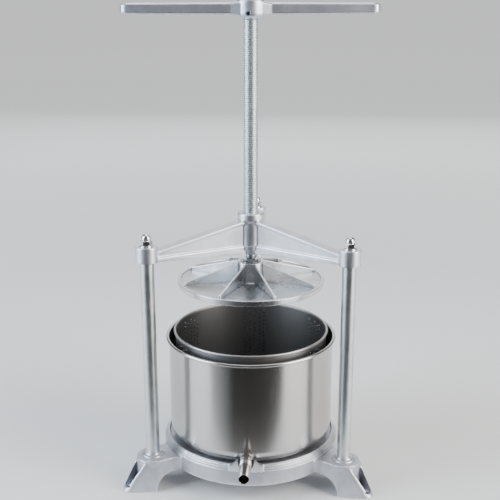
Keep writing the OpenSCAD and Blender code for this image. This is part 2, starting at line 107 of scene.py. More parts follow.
def rounded(corners, steps=4):
    """A closed outline. Each corner is (x, y), or (x, y, radius) to be rounded."""
    outline = []
    for i, corner in enumerate(corners):
        here = Vector(corner[:2])
        radius = corner[2] if len(corner) > 2 else 0
        if not radius:
            outline.append(tuple(here))
            continue
        back = Vector(corners[i - 1][:2]) - here
        ahead = Vector(corners[(i + 1) % len(corners)][:2]) - here
        half = back.angle(ahead) / 2
        reach = min(radius / math.tan(half), 0.49 * back.length, 0.49 * ahead.length)
        centre = here + (back.normalized() + ahead.normalized()).normalized() * reach / math.cos(half)
        first = here + back.normalized() * reach - centre
        last = here + ahead.normalized() * reach - centre
        sweep = first.angle_signed(last)
        for k in range(steps + 1):
            arm = Matrix.Rotation(-sweep * k / steps, 2) @ first
            outline.append(tuple(centre + arm))
    return outline


def as_object(shape, name):
    """The bmesh as an object, its doubles merged and its faces turned outward."""
    bmesh.ops.remove_doubles(shape, verts=shape.verts, dist=1e-6)
    bmesh.ops.dissolve_degenerate(shape, edges=shape.edges, dist=1e-7)
    bmesh.ops.delete(shape, geom=[e for e in shape.edges if e.is_wire], context="EDGES")
    bmesh.ops.recalc_face_normals(shape, faces=shape.faces)
    mesh = bpy.data.meshes.new(name)
    shape.to_mesh(mesh)
    shape.free()
    made = bpy.data.objects.new(name, mesh)
    bpy.context.collection.objects.link(made)
    return made


def turned(name, outline, steps=192, start=0.0, end=math.tau):
    """A closed outline of (radius, height) in mm turned about Z, whole or as a part ring."""
    shape = bmesh.new()
    whole = end - start > math.tau - 1e-6
    count = steps if whole else steps + 1
    rings = []
    for k in range(count):
        a = start + (end - start) * k / steps
        rings.append([
            shape.verts.new((r * math.cos(a) * MM, r * math.sin(a) * MM, z * MM)) for r, z in outline
        ])
    for k in range(steps):
        here, there = rings[k], rings[(k + 1) % count]
        for i in range(len(outline)):
            j = (i + 1) % len(outline)
            shape.faces.new((here[i], there[i], there[j], here[j]))
    if not whole:
        shape.faces.new(rings[0])
        shape.faces.new(reversed(rings[-1]))
    return as_object(shape, name)


def coat(mesh, finish):
    """Every face of the mesh in that one material."""
    mesh.materials.clear()
    mesh.polygons.foreach_set("material_index", [0] * len(mesh.polygons))
    if finish:
        mesh.materials.append(finish)


def settled(piece):
    """The piece with its modifiers made permanent."""
    bpy.context.view_layer.update()
    graph = bpy.context.evaluated_depsgraph_get()
    mesh = bpy.data.meshes.new_from_object(piece.evaluated_get(graph))
    finish = next((m for m in mesh.materials if m), None)
    coat(mesh, finish)
    piece.modifiers.clear()
    old, piece.data = piece.data, mesh
    mesh.name = piece.name
    bpy.data.meshes.remove(old)
    return piece


def cut(piece, tool, operation="DIFFERENCE"):
    """The piece joined with, cut by or kept inside the tool, which is used up."""
    step = piece.modifiers.new(operation.lower(), "BOOLEAN")
    step.operation = operation
    step.solver = "MANIFOLD"
    step.object = tool
    settled(piece)
    bpy.data.objects.remove(tool)
    return piece


def recast(node, name, grain, passes, most_faces=190000):
    """A CAD node's shape as it leaves the mould, with every edge and inner corner rounded.

    The merged copy is rebuilt on a grid of that grain in mm, smoothed, and thinned."""
    piece = bpy.data.objects.new(name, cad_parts[node].data.copy())
    bpy.context.collection.objects.link(piece)
    piece.data.materials.clear()
    shape = bmesh.new()
    shape.from_mesh(piece.data)
    bmesh.ops.remove_doubles(shape, verts=shape.verts, dist=2e-6)
    shape.to_mesh(piece.data)
    shape.free()
    grid = piece.modifiers.new("grid", "REMESH")
    grid.mode = "VOXEL"
    grid.voxel_size = grain * MM
    soft = piece.modifiers.new("soft", "SMOOTH")
    soft.factor = 0.5
    soft.iterations = passes
    settled(piece)
    faces = 2 * len(piece.data.polygons)
    if faces > most_faces:
        thin = piece.modifiers.new("thin", "DECIMATE")
        thin.ratio = most_faces / faces
        settled(piece)
    return piece


def drilled(piece, x, y, low, high, radius, steps=48):
    """The piece with a round hole parallel to Z drilled through it, in mm."""
    drill = turned("drill", [(0, low), (radius, low), (radius, high), (0, high)], steps)
    drill.data.transform(Matrix.Translation((x * MM, y * MM, 0)))
    return cut(piece, drill)


def smooth(piece, sharp_angle=40):
    """Smooth shading that keeps edges sharper than that angle, and follows the largest faces."""
    mesh = piece.data
    mesh.polygons.foreach_set("use_smooth", [True] * len(mesh.polygons))
    mesh.set_sharp_from_angle(angle=math.radians(sharp_angle))
    even = piece.modifiers.new("even", "WEIGHTED_NORMAL")
    even.keep_sharp = True
    return settled(piece)


def add_node(tree, kind, settings=None, **inputs):
    """A new node of that kind, with its settings and the values or links of its inputs."""
    node = tree.nodes.new(kind)
    for key, value in (settings or {}).items():
        setattr(node, key, value)
    for key, value in inputs.items():
        socket = node.inputs[int(key[1:])] if key[0] == "i" and key[1:].isdigit() else node.inputs[key.replace("_", " ")]
        if isinstance(value, bpy.types.NodeSocket):
            tree.links.new(value, socket)
        else:
            socket.default_value = value
    return node


def calculated(tree, operation, first, second=0.0, clamp=False):
    """The result of one sum between numbers or links."""
    node = add_node(tree, "ShaderNodeMath", {"operation": operation, "use_clamp": clamp}, i0=first, i1=second)
    return node.outputs[0]


def spread(tree, value, low, high, to_low, to_high):
    """The value mapped from one range to another, and held inside it."""
    node = add_node(
        tree, "ShaderNodeMapRange", {"clamp": True},
        Value=value, From_Min=low, From_Max=high, To_Min=to_low, To_Max=to_high,
    )
    return node.outputs["Result"]


def new_group(name, inputs, outputs):
    """An empty shader node group with number inputs and outputs, and its two end nodes."""
    tree = bpy.data.node_groups.new(name, "ShaderNodeTree")
    for label, value in inputs.items():
        tree.interface.new_socket(name=label, in_out="INPUT", socket_type="NodeSocketFloat").default_value = value
    for label in outputs:
        tree.interface.new_socket(name=label, in_out="OUTPUT", socket_type="NodeSocketFloat")
    return tree, tree.nodes.new("NodeGroupInput").outputs, tree.nodes.new("NodeGroupOutput").inputs


def make_cast_skin():
    """Grain, flow marks, pits and a mask of a casting's edges for a painted highlight, all sized in object space."""
    tree, given, result = new_group(
        "cast_skin", {"Grain": 1400.0, "Flow": 55.0}, ["Tone", "Height", "Pits", "Edges"]
    )
    place = tree.nodes.new("ShaderNodeTexCoord").outputs["Object"]
    grain = add_node(tree, "ShaderNodeTexNoise", Vector=place, Scale=given["Grain"], Detail=3.0, Roughness=0.6)
    flow = add_node(tree, "ShaderNodeTexNoise", Vector=place, Scale=given["Flow"], Detail=4.0, Distortion=0.6)
    pit = add_node(tree, "ShaderNodeTexVoronoi", Vector=place, Scale=190.0)
    pit_field = add_node(tree, "ShaderNodeTexNoise", Vector=place, Scale=26.0, Detail=2.0)
    rare = spread(tree, pit_field.outputs["Fac"], 0.56, 0.66, 0.0, 1.0)
    dent = spread(tree, pit.outputs["Distance"], 0.10, 0.22, 1.0, 0.0)
    pits = calculated(tree, "MULTIPLY", rare, dent)
    bend = tree.nodes.new("ShaderNodeNewGeometry").outputs["Pointiness"]
    tree.links.new(spread(tree, bend, 0.51, 0.56, 0.0, 1.0), result["Edges"])
    tree.links.new(flow.outputs["Fac"], result["Tone"])
    tree.links.new(pits, result["Pits"])
    grainy = calculated(tree, "MULTIPLY", grain.outputs["Fac"], 0.35)
    wavy = calculated(tree, "MULTIPLY", flow.outputs["Fac"], 0.9)
    raised = calculated(tree, "ADD", grainy, wavy)
    tree.links.new(calculated(tree, "SUBTRACT", raised, pits), result["Height"])
    return tree


cast_skin = make_cast_skin()


def new_metal(name, metallic=1.0):
    """A material with one Principled shader of that metallic value."""
    material = bpy.data.materials.new(name)
    material.use_nodes = True
    shader = material.node_tree.nodes["Principled BSDF"]
    shader.inputs["Metallic"].default_value = metallic
    return material, material.node_tree, shader


def blend_colours(tree, mask, low, high):
    """One colour where the mask is 0 and the other where it is 1."""
    node = add_node(tree, "ShaderNodeMix", {"data_type": "RGBA"}, i0=mask)
    node.inputs[6].default_value = (*low, 1)
    node.inputs[7].default_value = (*high, 1)
    return node.outputs[2]


def tint(tree, colour, mask, other):
    """A linked colour turned towards another one by the mask."""
    node = add_node(tree, "ShaderNodeMix", {"data_type": "RGBA"}, i0=mask, i6=colour)
    node.inputs[7].default_value = (*other, 1)
    return node.outputs[2]


def make_casting(name, dark, light, edge, rough_low, rough_high, relief, grain, flow, metallic=1.0):
    """Cast aluminium between two tones, with a painted highlight along its edges and that depth of relief in m."""
    material, tree, shader = new_metal(name, metallic)
    skin = add_node(tree, "ShaderNodeGroup", {"node_tree": cast_skin}, Grain=grain, Flow=flow)
    body = blend_colours(tree, spread(tree, skin.outputs["Tone"], 0.3, 0.7, 0.0, 1.0), dark, light)
    # Painted highlight: the edges are tinted towards the pale edge colour.
    with_painted_edge_highlight = tint(tree, body, skin.outputs["Edges"], edge)
    pitted = tint(tree, with_painted_edge_highlight, calculated(tree, "MULTIPLY", skin.outputs["Pits"], 0.6), [c * 0.45 for c in dark])
    tree.links.new(pitted, shader.inputs["Base Color"])
    gloss = spread(tree, skin.outputs["Tone"], 0.3, 0.7, rough_high, rough_low)
    glossier_edges = calculated(tree, "SUBTRACT", gloss, calculated(tree, "MULTIPLY", skin.outputs["Edges"], 0.08))
    tree.links.new(glossier_edges, shader.inputs["Roughness"])
    bump = add_node(tree, "ShaderNodeBump", Height=skin.outputs["Height"], Distance=relief, Strength=0.55)
    tree.links.new(bump.outputs["Normal"], shader.inputs["Normal"])
    return material


# The base is the crossbeam's aluminium in darker tones: painted shade.
base_aluminium_painted_darker = make_casting(
    "base_aluminium_painted_darker", dark=(0.47, 0.48, 0.525), light=(0.57, 0.58, 0.625), edge=(0.94, 0.95, 0.98),
    rough_low=0.36, rough_high=0.48, relief=0.00020, grain=1400.0, flow=55.0, metallic=0.88,
)

base = recast("base_casting", "base_casting_shape", grain=1.15, passes=3, most_faces=150000)

# The ring's wall is turned, and so is its stepped moulding, which stops at the spout.
shoulder_z = LIP_Z - STEP_COUNT * STEP_H
ring_wall = turned("ring_wall", rounded([
    (RING_R - 3, RING_LOW_Z + 1), (RING_R + WALL_PROUD + WALL_DRAFT, RING_LOW_Z - 0.15, 1.2),
    *[(RING_R + WALL_PROUD + WALL_DRAFT * (shoulder_z - z) / (shoulder_z - RING_LOW_Z), z)
      for z in (38, 44, 49, 53, 55.5)],
    (RING_R + WALL_PROUD, shoulder_z, 0.8), (RING_R - 3, shoulder_z),
], steps=3), steps=300)
cut(base, ring_wall, "UNION")

moulding_outline = rounded([
    (LIP_INNER_R - WALL_PROUD, RING_LOW_Z + 24),
    (RING_R - 1, RING_LOW_Z + 24),
    (RING_R - 1, shoulder_z - 0.5),
    *[
        corner
        for i in range(STEP_COUNT, 0, -1)
        for corner in (
            (RING_R - (STEP_COUNT - i + 1) * STEP_W + WALL_PROUD, LIP_Z - i * STEP_H, 0.5),
            (RING_R - (STEP_COUNT - i + 1) * STEP_W + WALL_PROUD, LIP_Z - (i - 1) * STEP_H + WALL_PROUD / 2, 0.6),
        )
    ],
    (LIP_INNER_R - WALL_PROUD, LIP_Z + WALL_PROUD / 2, 0.8),
], steps=3)
front_gap = math.asin(FRONT_HALF_W / RING_R)
moulding = turned(
    "moulding", moulding_outline, steps=300, start=-math.pi / 2 + front_gap, end=1.5 * math.pi - front_gap
)
cut(base, moulding, "UNION")

# In front the wall is full, and rises on each side of the spout into a curved ear.
cove = [
    (FRONT_HALF_W - (FRONT_HALF_W - NOTCH_HALF_W - 3) * math.sin(math.radians(t)),
     LIP_Z + (EAR_Z - LIP_Z) * (1 - math.cos(math.radians(t))))
    for t in range(0, 91, 10)
]
half_front = [(FRONT_HALF_W, shoulder_z - 4), *cove, (NOTCH_HALF_W, EAR_Z, 0.6), (NOTCH_HALF_W, EAR_Z - 2)]
cradle = [
    (NOTCH_HALF_W * math.cos(math.radians(-t)), EAR_Z - 2 + NOTCH_HALF_W * math.sin(math.radians(-t)))
    for t in range(10, 180, 10)
]
ear_outline = rounded([*half_front, *cradle, *[(-c[0], *c[1:]) for c in reversed(half_front)]])
ears = bmesh.new()
near, far = [
    [ears.verts.new((x * MM, y * MM, z * MM)) for x, z in ear_outline] for y in (-RING_R - 20, -RING_R + 20)
]
ears.faces.new(near)
ears.faces.new(reversed(far))
for i in range(len(near)):
    j = (i + 1) % len(near)
    ears.faces.new((near[i], far[i], far[j], near[j]))
ears = as_object(ears, "ears")
front_wall = turned("front_wall", rounded([
    (LIP_INNER_R - WALL_PROUD, shoulder_z - 5), (RING_R + WALL_PROUD, shoulder_z - 5),
    (RING_R + WALL_PROUD, EAR_Z, 0.7), (LIP_INNER_R - WALL_PROUD, EAR_Z, 0.7),
]), steps=300)
cut(ears, front_wall, "INTERSECT")
cut(base, ears, "UNION")

for a in COLUMN_ANGLES:
    x, y = COLUMN_CIRCLE * math.cos(a), COLUMN_CIRCLE * math.sin(a)
    drilled(base, x, y, DECK_Z + 1, DECK_Z + 20, 11.15, steps=72)
    drilled(base, 225.6 * math.cos(a), 225.6 * math.sin(a), -2, 12, 3.5)
smooth(base, 32)
base.data.materials.append(base_aluminium_painted_darker)
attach(base, "frame")
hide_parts("base_casting")


# ---- Columns ----
# Three bright zinc-plated steel bars of 22 mm. Both ends are turned down to a
# stud that passes through the casting, so the shoulder takes the load.

COLUMN_D = 22
COLUMN_LOW_Z = 55
COLUMN_HIGH_Z = 396
STUD_D = 10
STUD_LOW_Z = 30.5
STUD_HIGH_Z = 427.5


def make_ring_of():
    """A geometry tree that sets copies of one piece round the press axis."""
    tree = bpy.data.node_groups.new("ring_of", "GeometryNodeTree")
    tree.interface.new_socket(name="Piece", in_out="INPUT", socket_type="NodeSocketGeometry")
    for label, kind, value in (
        ("Count", "NodeSocketInt", 3), ("Radius", "NodeSocketFloat", 0.0), ("First Angle", "NodeSocketFloat", 0.0),
    ):
        tree.interface.new_socket(name=label, in_out="INPUT", socket_type=kind).default_value = value
    tree.interface.new_socket(name="Finish", in_out="INPUT", socket_type="NodeSocketMaterial")
    tree.interface.new_socket(name="Ring", in_out="OUTPUT", socket_type="NodeSocketGeometry")
    given = tree.nodes.new("NodeGroupInput").outputs
    points = add_node(tree, "GeometryNodePoints", Count=given["Count"])
    index = tree.nodes.new("GeometryNodeInputIndex").outputs[0]
    pitch = calculated(tree, "DIVIDE", math.tau, given["Count"])
    angle = calculated(tree, "ADD", calculated(tree, "MULTIPLY", index, pitch), given["First Angle"])
    x = calculated(tree, "MULTIPLY", calculated(tree, "COSINE", angle), given["Radius"])
    y = calculated(tree, "MULTIPLY", calculated(tree, "SINE", angle), given["Radius"])
    place = add_node(tree, "ShaderNodeCombineXYZ", X=x, Y=y)
    set_out = add_node(tree, "GeometryNodeSetPosition", Geometry=points.outputs[0], Position=place.outputs[0])
    turn = add_node(tree, "ShaderNodeCombineXYZ", Z=angle)
    copies = add_node(
        tree, "GeometryNodeInstanceOnPoints",
        Points=set_out.outputs[0], Instance=given["Piece"], Rotation=turn.outputs[0],
    )
    real = add_node(tree, "GeometryNodeRealizeInstances", Geometry=copies.outputs[0])
    finish = add_node(tree, "GeometryNodeSetMaterial", Geometry=real.outputs[0], Material=given["Finish"])
    out = tree.nodes.new("NodeGroupOutput")
    tree.links.new(finish.outputs[0], out.inputs[0])
    return tree


ring_tree = make_ring_of()


def grown(piece, tree, **inputs):
    """The piece with a geometry tree run on it and made permanent."""
    grow = piece.modifiers.new(tree.name, "NODES")
    grow.node_group = tree
    sockets = {s.name: s.identifier for s in tree.interface.items_tree if s.in_out == "INPUT"}
    for label, value in inputs.items():
        grow[sockets[label.replace("_", " ")]] = value
    return settled(piece)


def ring_of(piece, finish, count=3, radius=COLUMN_CIRCLE * MM, first_angle=COLUMN_ANGLES[0]):
    """Copies of a piece that stands on the origin, by default one on each column's axis."""
    return grown(piece, ring_tree, Count=count, Radius=radius, First_Angle=first_angle, Finish=finish)


def make_plating():
    """The bloom, fine drawing lines and specks of zinc plating on steel."""
    tree, given, result = new_group("plating", {"Line Scale": 900.0, "Stretch": 0.02}, ["Bloom", "Lines", "Specks"])
    place = tree.nodes.new("ShaderNodeTexCoord").outputs["Object"]
    size = add_node(tree, "ShaderNodeCombineXYZ", X=1.0, Y=1.0, Z=given["Stretch"])
    drawn = add_node(tree, "ShaderNodeVectorMath", {"operation": "MULTIPLY"}, i0=place, i1=size.outputs[0])
    line = add_node(tree, "ShaderNodeTexNoise", Vector=drawn.outputs[0], Scale=given["Line Scale"], Detail=2.0)
    bloom = add_node(tree, "ShaderNodeTexNoise", Vector=place, Scale=38.0, Detail=5.0, Roughness=0.65)
    speck = add_node(tree, "ShaderNodeTexNoise", Vector=place, Scale=420.0, Detail=2.0)
    tree.links.new(bloom.outputs["Fac"], result["Bloom"])
    tree.links.new(line.outputs["Fac"], result["Lines"])
    tree.links.new(spread(tree, speck.outputs["Fac"], 0.64, 0.72, 0.0, 1.0), result["Specks"])
    return tree


plating = make_plating()


def make_plated(name, dull, bright, speck, rough_low, rough_high, relief, stretch=0.02):
    """Zinc-plated steel between two tones of bloom."""
    material, tree, shader = new_metal(name)
    zinc = add_node(tree, "ShaderNodeGroup", {"node_tree": plating}, Stretch=stretch)
    body = blend_colours(tree, spread(tree, zinc.outputs["Bloom"], 0.35, 0.65, 0.0, 1.0), dull, bright)
    spotted = tint(tree, body, calculated(tree, "MULTIPLY", zinc.outputs["Specks"], 0.5), speck)
    tree.links.new(spotted, shader.inputs["Base Color"])
    lined = calculated(tree, "ADD", calculated(tree, "MULTIPLY", zinc.outputs["Lines"], 0.5),
                       calculated(tree, "MULTIPLY", zinc.outputs["Bloom"], 0.5))
    tree.links.new(spread(tree, lined, 0.35, 0.65, rough_low, rough_high), shader.inputs["Roughness"])
    bump = add_node(tree, "ShaderNodeBump", Height=zinc.outputs["Lines"], Distance=relief, Strength=0.4)
    tree.links.new(bump.outputs["Normal"], shader.inputs["Normal"])
    return material


column_zinc = make_plated(
    "column_zinc", dull=(0.60, 0.63, 0.64), bright=(0.72, 0.745, 0.75), speck=(0.48, 0.49, 0.50),
    rough_low=0.30, rough_high=0.42, relief=0.00002,
)

column = turned("columns", rounded([
    (0, STUD_LOW_Z), (STUD_D / 2, STUD_LOW_Z, 1), (STUD_D / 2, COLUMN_LOW_Z),
    (COLUMN_D / 2, COLUMN_LOW_Z, 0.8), (COLUMN_D / 2, COLUMN_HIGH_Z, 0.8),
    (STUD_D / 2, COLUMN_HIGH_Z), (STUD_D / 2, STUD_HIGH_Z, 1), (0, STUD_HIGH_Z),
]), steps=72)
ring_of(column, column_zinc)
smooth(column, 30)
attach(column, "frame")
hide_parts("column_left", "column_right", "column_rear")


# ---- Column fasteners ----
# Each column is pulled down by a domed M10 nut on a plain washer above the
# crossbeam, and by a plain M10 nut and washer in the hollow of the leg.

M10_FLATS = 17
NUT_H = 8
WASHER_R = 10.5
WASHER_T = 2
ACORN_H = 18
DOME_R = 7.5
BEAM_BOSS_TOP_Z = 413.5
LEG_SEAT_Z = 42


def washer(name, radius, thickness, hole_r, low):
    """A stamped washer, with a rounded upper edge and a sharper lower one."""
    return turned(name, rounded([
        (hole_r, low), (radius, low, 0.2), (radius, low + thickness, 0.5), (hole_r, low + thickness, 0.3),
    ], steps=3), steps=64)


def hexagon(name, flats, low, height, spin=0.0):
    """A hexagonal prism with its corners turned off at both ends, as on a nut."""
    across = flats / math.sqrt(3)
    shape = bmesh.new()
    levels = []
    for z in (low, low + height):
        levels.append([
            shape.verts.new((across * math.cos(a) * MM, across * math.sin(a) * MM, z * MM))
            for a in [spin + k * math.pi / 3 for k in range(6)]
        ])
    shape.faces.new(reversed(levels[0]))
    shape.faces.new(levels[1])
    for k in range(6):
        j = (k + 1) % 6
        shape.faces.new((levels[0][k], levels[0][j], levels[1][j], levels[1][k]))
    prism = as_object(shape, name)
    slope = 1.2
    cone = turned("cone", [
        (0, low), (flats / 2 - 0.2, low), (across + 0.1, low + slope),
        (across + 0.1, low + height - slope), (flats / 2 - 0.2, low + height), (0, low + height),
    ], steps=96)
    return cut(prism, cone, "INTERSECT")


def nut(name, flats, height, hole_r, low, spin=0.0):
    """A plain hexagon nut with a chamfered bore."""
    blank = hexagon(name, flats, low, height, spin)
    bore = turned("bore", [
        (0, low - 1), (hole_r + 1.6, low - 1), (hole_r, low + 0.6), (hole_r, low + height - 0.6),
        (hole_r + 1.6, low + height + 1), (0, low + height + 1),
    ], steps=64)
    return cut(blank, bore)


nut_zinc = make_plated(
    "nut_zinc", dull=(0.76, 0.78, 0.79), bright=(0.88, 0.89, 0.90), speck=(0.60, 0.60, 0.61),
    rough_low=0.12, rough_high=0.24, relief=0.00003, stretch=1.0,
)

acorn_low = BEAM_BOSS_TOP_Z + WASHER_T
acorn = hexagon("acorn_nuts", M10_FLATS, acorn_low, NUT_H, spin=math.radians(38))
dome_arc = [
    (DOME_R * math.cos(math.radians(a)), acorn_low + ACORN_H - DOME_R + DOME_R * math.sin(math.radians(a)))
    for a in range(0, 91, 9)
]
crown = turned("crown", [
    (0, acorn_low + 1), (DOME_R - 0.3, acorn_low + 1), (DOME_R - 0.3, acorn_low + NUT_H + 0.4),
    (DOME_R, acorn_low + NUT_H + 0.9), *dome_arc,
], steps=64)
cut(acorn, crown, "UNION")
bore = turned("bore", [
    (0, acorn_low - 1), (STUD_D / 2 + 0.05, acorn_low - 1), (STUD_D / 2 + 0.05, acorn_low + 14), (0, acorn_low + 14),
], steps=48)
cut(acorn, bore)
ring_of(acorn, nut_zinc)
smooth(acorn, 24)
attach(acorn, "frame")
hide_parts("acorn_nut_left", "acorn_nut_right", "acorn_nut_rear")

beam_washer = washer("beam_washers", WASHER_R, WASHER_T, STUD_D / 2 + 0.25, BEAM_BOSS_TOP_Z)
ring_of(beam_washer, nut_zinc)
smooth(beam_washer)
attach(beam_washer, "frame")
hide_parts("beam_washer_left", "beam_washer_right", "beam_washer_rear")

foot_washer = washer("foot_washers", WASHER_R, WASHER_T, STUD_D / 2 + 0.25, LEG_SEAT_Z - WASHER_T)
ring_of(foot_washer, nut_zinc)
smooth(foot_washer)
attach(foot_washer, "frame")
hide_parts("foot_washer_left", "foot_washer_right", "foot_washer_rear")

foot_nut = nut("foot_nuts", M10_FLATS, NUT_H, STUD_D / 2 + 0.05, LEG_SEAT_Z - WASHER_T - NUT_H)
ring_of(foot_nut, nut_zinc)
smooth(foot_nut)
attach(foot_nut, "frame")
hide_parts("foot_nut_left", "foot_nut_right", "foot_nut_rear")


# ---- Crossbeam ----
# A second aluminium casting: three arms of I section that slope down from a
# tall threaded boss to a round boss over each column. Its ends are machined.

SCREW_D = 24
BEAM_LOW_Z = 381
BEAM_TOP_Z = 448.5
BEAM_BOSS_LOW_Z = 388

beam_aluminium = make_casting(
    "beam_aluminium", dark=(0.66, 0.675, 0.72), light=(0.78, 0.795, 0.845), edge=(0.94, 0.95, 0.98),
    rough_low=0.33, rough_high=0.44, relief=0.00020, grain=1400.0, flow=55.0,
)
beam = recast("crossbeam", "crossbeam_shape", grain=0.85, passes=3, most_faces=190000)
drilled(beam, 0, 0, BEAM_LOW_Z - 2, BEAM_TOP_Z + 2, SCREW_D / 2 + 0.15, steps=96)
for a in COLUMN_ANGLES:
    x, y = COLUMN_CIRCLE * math.cos(a), COLUMN_CIRCLE * math.sin(a)
    drilled(beam, x, y, BEAM_BOSS_LOW_Z - 2, COLUMN_HIGH_Z, COLUMN_D / 2 + 0.15, steps=72)
smooth(beam, 32)
beam.data.materials.append(beam_aluminium)
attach(beam, "frame")
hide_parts("crossbeam")


# ---- Press screw ----
# A steel screw of 24 mm with a 3 mm trapezoidal thread, rolled and then zinc
# plated. A plain spigot at the lower end carries the plate and its nuts, and
# one at the top is pinned into the handle.

THREAD_PITCH = 3
THREAD_DEPTH = 1.35
SHOULDER_Z = 378.5
HUB_Z = 752.5
SPIGOT_D = 16
SPIGOT_LOW_Z = 327.5
TOP_SPIGOT_D = 18
TOP_SPIGOT_H = 22
THREAD_SIDES = 40
SAMPLES_PER_TURN = 10


def make_thread_tree():
    """A geometry tree that winds a closed tube with a trapezoidal thread about Z."""
    tree = bpy.data.node_groups.new("thread", "GeometryNodeTree")
    for label, value in (
        ("Low", 0.0), ("High", 0.1), ("Pitch", 0.003), ("Outer Radius", 0.012), ("Depth", 0.0014),
    ):
        tree.interface.new_socket(name=label, in_out="INPUT", socket_type="NodeSocketFloat").default_value = value
    for label, value in (("Sides", 40), ("Samples", 10)):
        tree.interface.new_socket(name=label, in_out="INPUT", socket_type="NodeSocketInt").default_value = value
    tree.interface.new_socket(name="Finish", in_out="INPUT", socket_type="NodeSocketMaterial")
    tree.interface.new_socket(name="Thread", in_out="OUTPUT", socket_type="NodeSocketGeometry")
    given = tree.nodes.new("NodeGroupInput").outputs

    length = calculated(tree, "SUBTRACT", given["High"], given["Low"])
    turns = calculated(tree, "CEIL", calculated(tree, "DIVIDE", length, given["Pitch"]))
    rows = calculated(tree, "ADD", calculated(
        tree, "MULTIPLY", calculated(tree, "ADD", turns, 4.0), given["Samples"]), 1.0)
    columns = calculated(tree, "ADD", given["Sides"], 1.0)
    grid = add_node(tree, "GeometryNodeMeshGrid", Vertices_X=columns, Vertices_Y=rows)
    index = tree.nodes.new("GeometryNodeInputIndex").outputs[0]
    column = calculated(tree, "FLOOR", calculated(tree, "DIVIDE", calculated(tree, "ADD", index, 0.5), rows))
    row = calculated(tree, "SUBTRACT", index, calculated(tree, "MULTIPLY", column, rows))

    share = calculated(tree, "DIVIDE", column, given["Sides"])
    angle = calculated(tree, "MULTIPLY", share, math.tau)
    phase = calculated(tree, "DIVIDE", row, given["Samples"])
    wound = calculated(tree, "ADD", calculated(tree, "SUBTRACT", phase, 2.0), share)
    height = calculated(tree, "ADD", calculated(tree, "MULTIPLY", wound, given["Pitch"]), given["Low"])
    held = calculated(tree, "MINIMUM", calculated(tree, "MAXIMUM", height, given["Low"]), given["High"])

    wave = calculated(tree, "MULTIPLY", calculated(tree, "PINGPONG", phase, 0.5), 2.0)
    crest = spread(tree, wave, 0.30, 0.70, 0.0, 1.0)
    root = calculated(tree, "SUBTRACT", given["Outer Radius"], given["Depth"])
    radius = calculated(tree, "ADD", root, calculated(tree, "MULTIPLY", crest, given["Depth"]))
    from_low = calculated(tree, "SUBTRACT", height, given["Low"])
    from_high = calculated(tree, "SUBTRACT", given["High"], height)
    from_end = calculated(tree, "MINIMUM", from_low, from_high)
    lead_in = calculated(tree, "ADD", root, from_end)
    tapered = calculated(tree, "MAXIMUM", calculated(tree, "MINIMUM", radius, lead_in), 0.0)
    inside = calculated(tree, "GREATER_THAN", from_end, -1e-6)
    past = calculated(tree, "LESS_THAN", from_end, -0.75e-3)
    end_r = calculated(tree, "MULTIPLY", root, calculated(tree, "SUBTRACT", 1.0, past))
    kept = calculated(tree, "ADD", calculated(tree, "MULTIPLY", tapered, inside),
                      calculated(tree, "MULTIPLY", end_r, calculated(tree, "SUBTRACT", 1.0, inside)))

    x = calculated(tree, "MULTIPLY", calculated(tree, "COSINE", angle), kept)
    y = calculated(tree, "MULTIPLY", calculated(tree, "SINE", angle), kept)
    place = add_node(tree, "ShaderNodeCombineXYZ", X=x, Y=y, Z=held)
    wrapped = add_node(tree, "GeometryNodeSetPosition", Geometry=grid.outputs[0], Position=place.outputs[0])
    closed = add_node(tree, "GeometryNodeMergeByDistance", Geometry=wrapped.outputs[0], Distance=2e-6)
    real = add_node(tree, "GeometryNodeRealizeInstances", Geometry=closed.outputs[0])
    finish = add_node(tree, "GeometryNodeSetMaterial", Geometry=real.outputs[0], Material=given["Finish"])
    out = tree.nodes.new("NodeGroupOutput")
    tree.links.new(finish.outputs[0], out.inputs[0])
    return tree


screw_zinc = make_plated(
    "screw_zinc", dull=(0.79, 0.86, 0.89), bright=(0.86, 0.92, 0.93), speck=(0.72, 0.76, 0.76),
    rough_low=0.33, rough_high=0.46, relief=0.00004, stretch=1.0,
)

# Oil and painted shade keep the thread's roots darker than its crests.
roots_tree = screw_zinc.node_tree
roots_place = add_node(
    roots_tree, "ShaderNodeSeparateXYZ", Vector=roots_tree.nodes.new("ShaderNodeTexCoord").outputs["Object"]
).outputs
from_axis = calculated(roots_tree, "SQRT", calculated(
    roots_tree, "ADD", calculated(roots_tree, "POWER", roots_place["X"], 2.0),
    calculated(roots_tree, "POWER", roots_place["Y"], 2.0)))
oil_and_painted_root_shade = spread(roots_tree, from_axis, (SCREW_D / 2 - THREAD_DEPTH) * MM, (SCREW_D / 2 - 0.3) * MM, 0.50, 0.0)
screw_shader = roots_tree.nodes["Principled BSDF"]
plain_zinc = screw_shader.inputs["Base Color"].links[0].from_socket
roots_tree.links.new(tint(roots_tree, plain_zinc, oil_and_painted_root_shade, (0.24, 0.26, 0.26)), screw_shader.inputs["Base Color"])

thread = as_object(bmesh.new(), "screw_thread")
grown(
    thread, make_thread_tree(), Low=SHOULDER_Z * MM, High=HUB_Z * MM, Pitch=THREAD_PITCH * MM,
    Outer_Radius=SCREW_D / 2 * MM, Depth=THREAD_DEPTH * MM, Sides=THREAD_SIDES, Samples=SAMPLES_PER_TURN,
    Finish=screw_zinc,
)
tidy = bmesh.new()
tidy.from_mesh(thread.data)
bmesh.ops.dissolve_degenerate(tidy, edges=tidy.edges, dist=1e-7)
bmesh.ops.recalc_face_normals(tidy, faces=tidy.faces)
tidy.to_mesh(thread.data)
tidy.free()

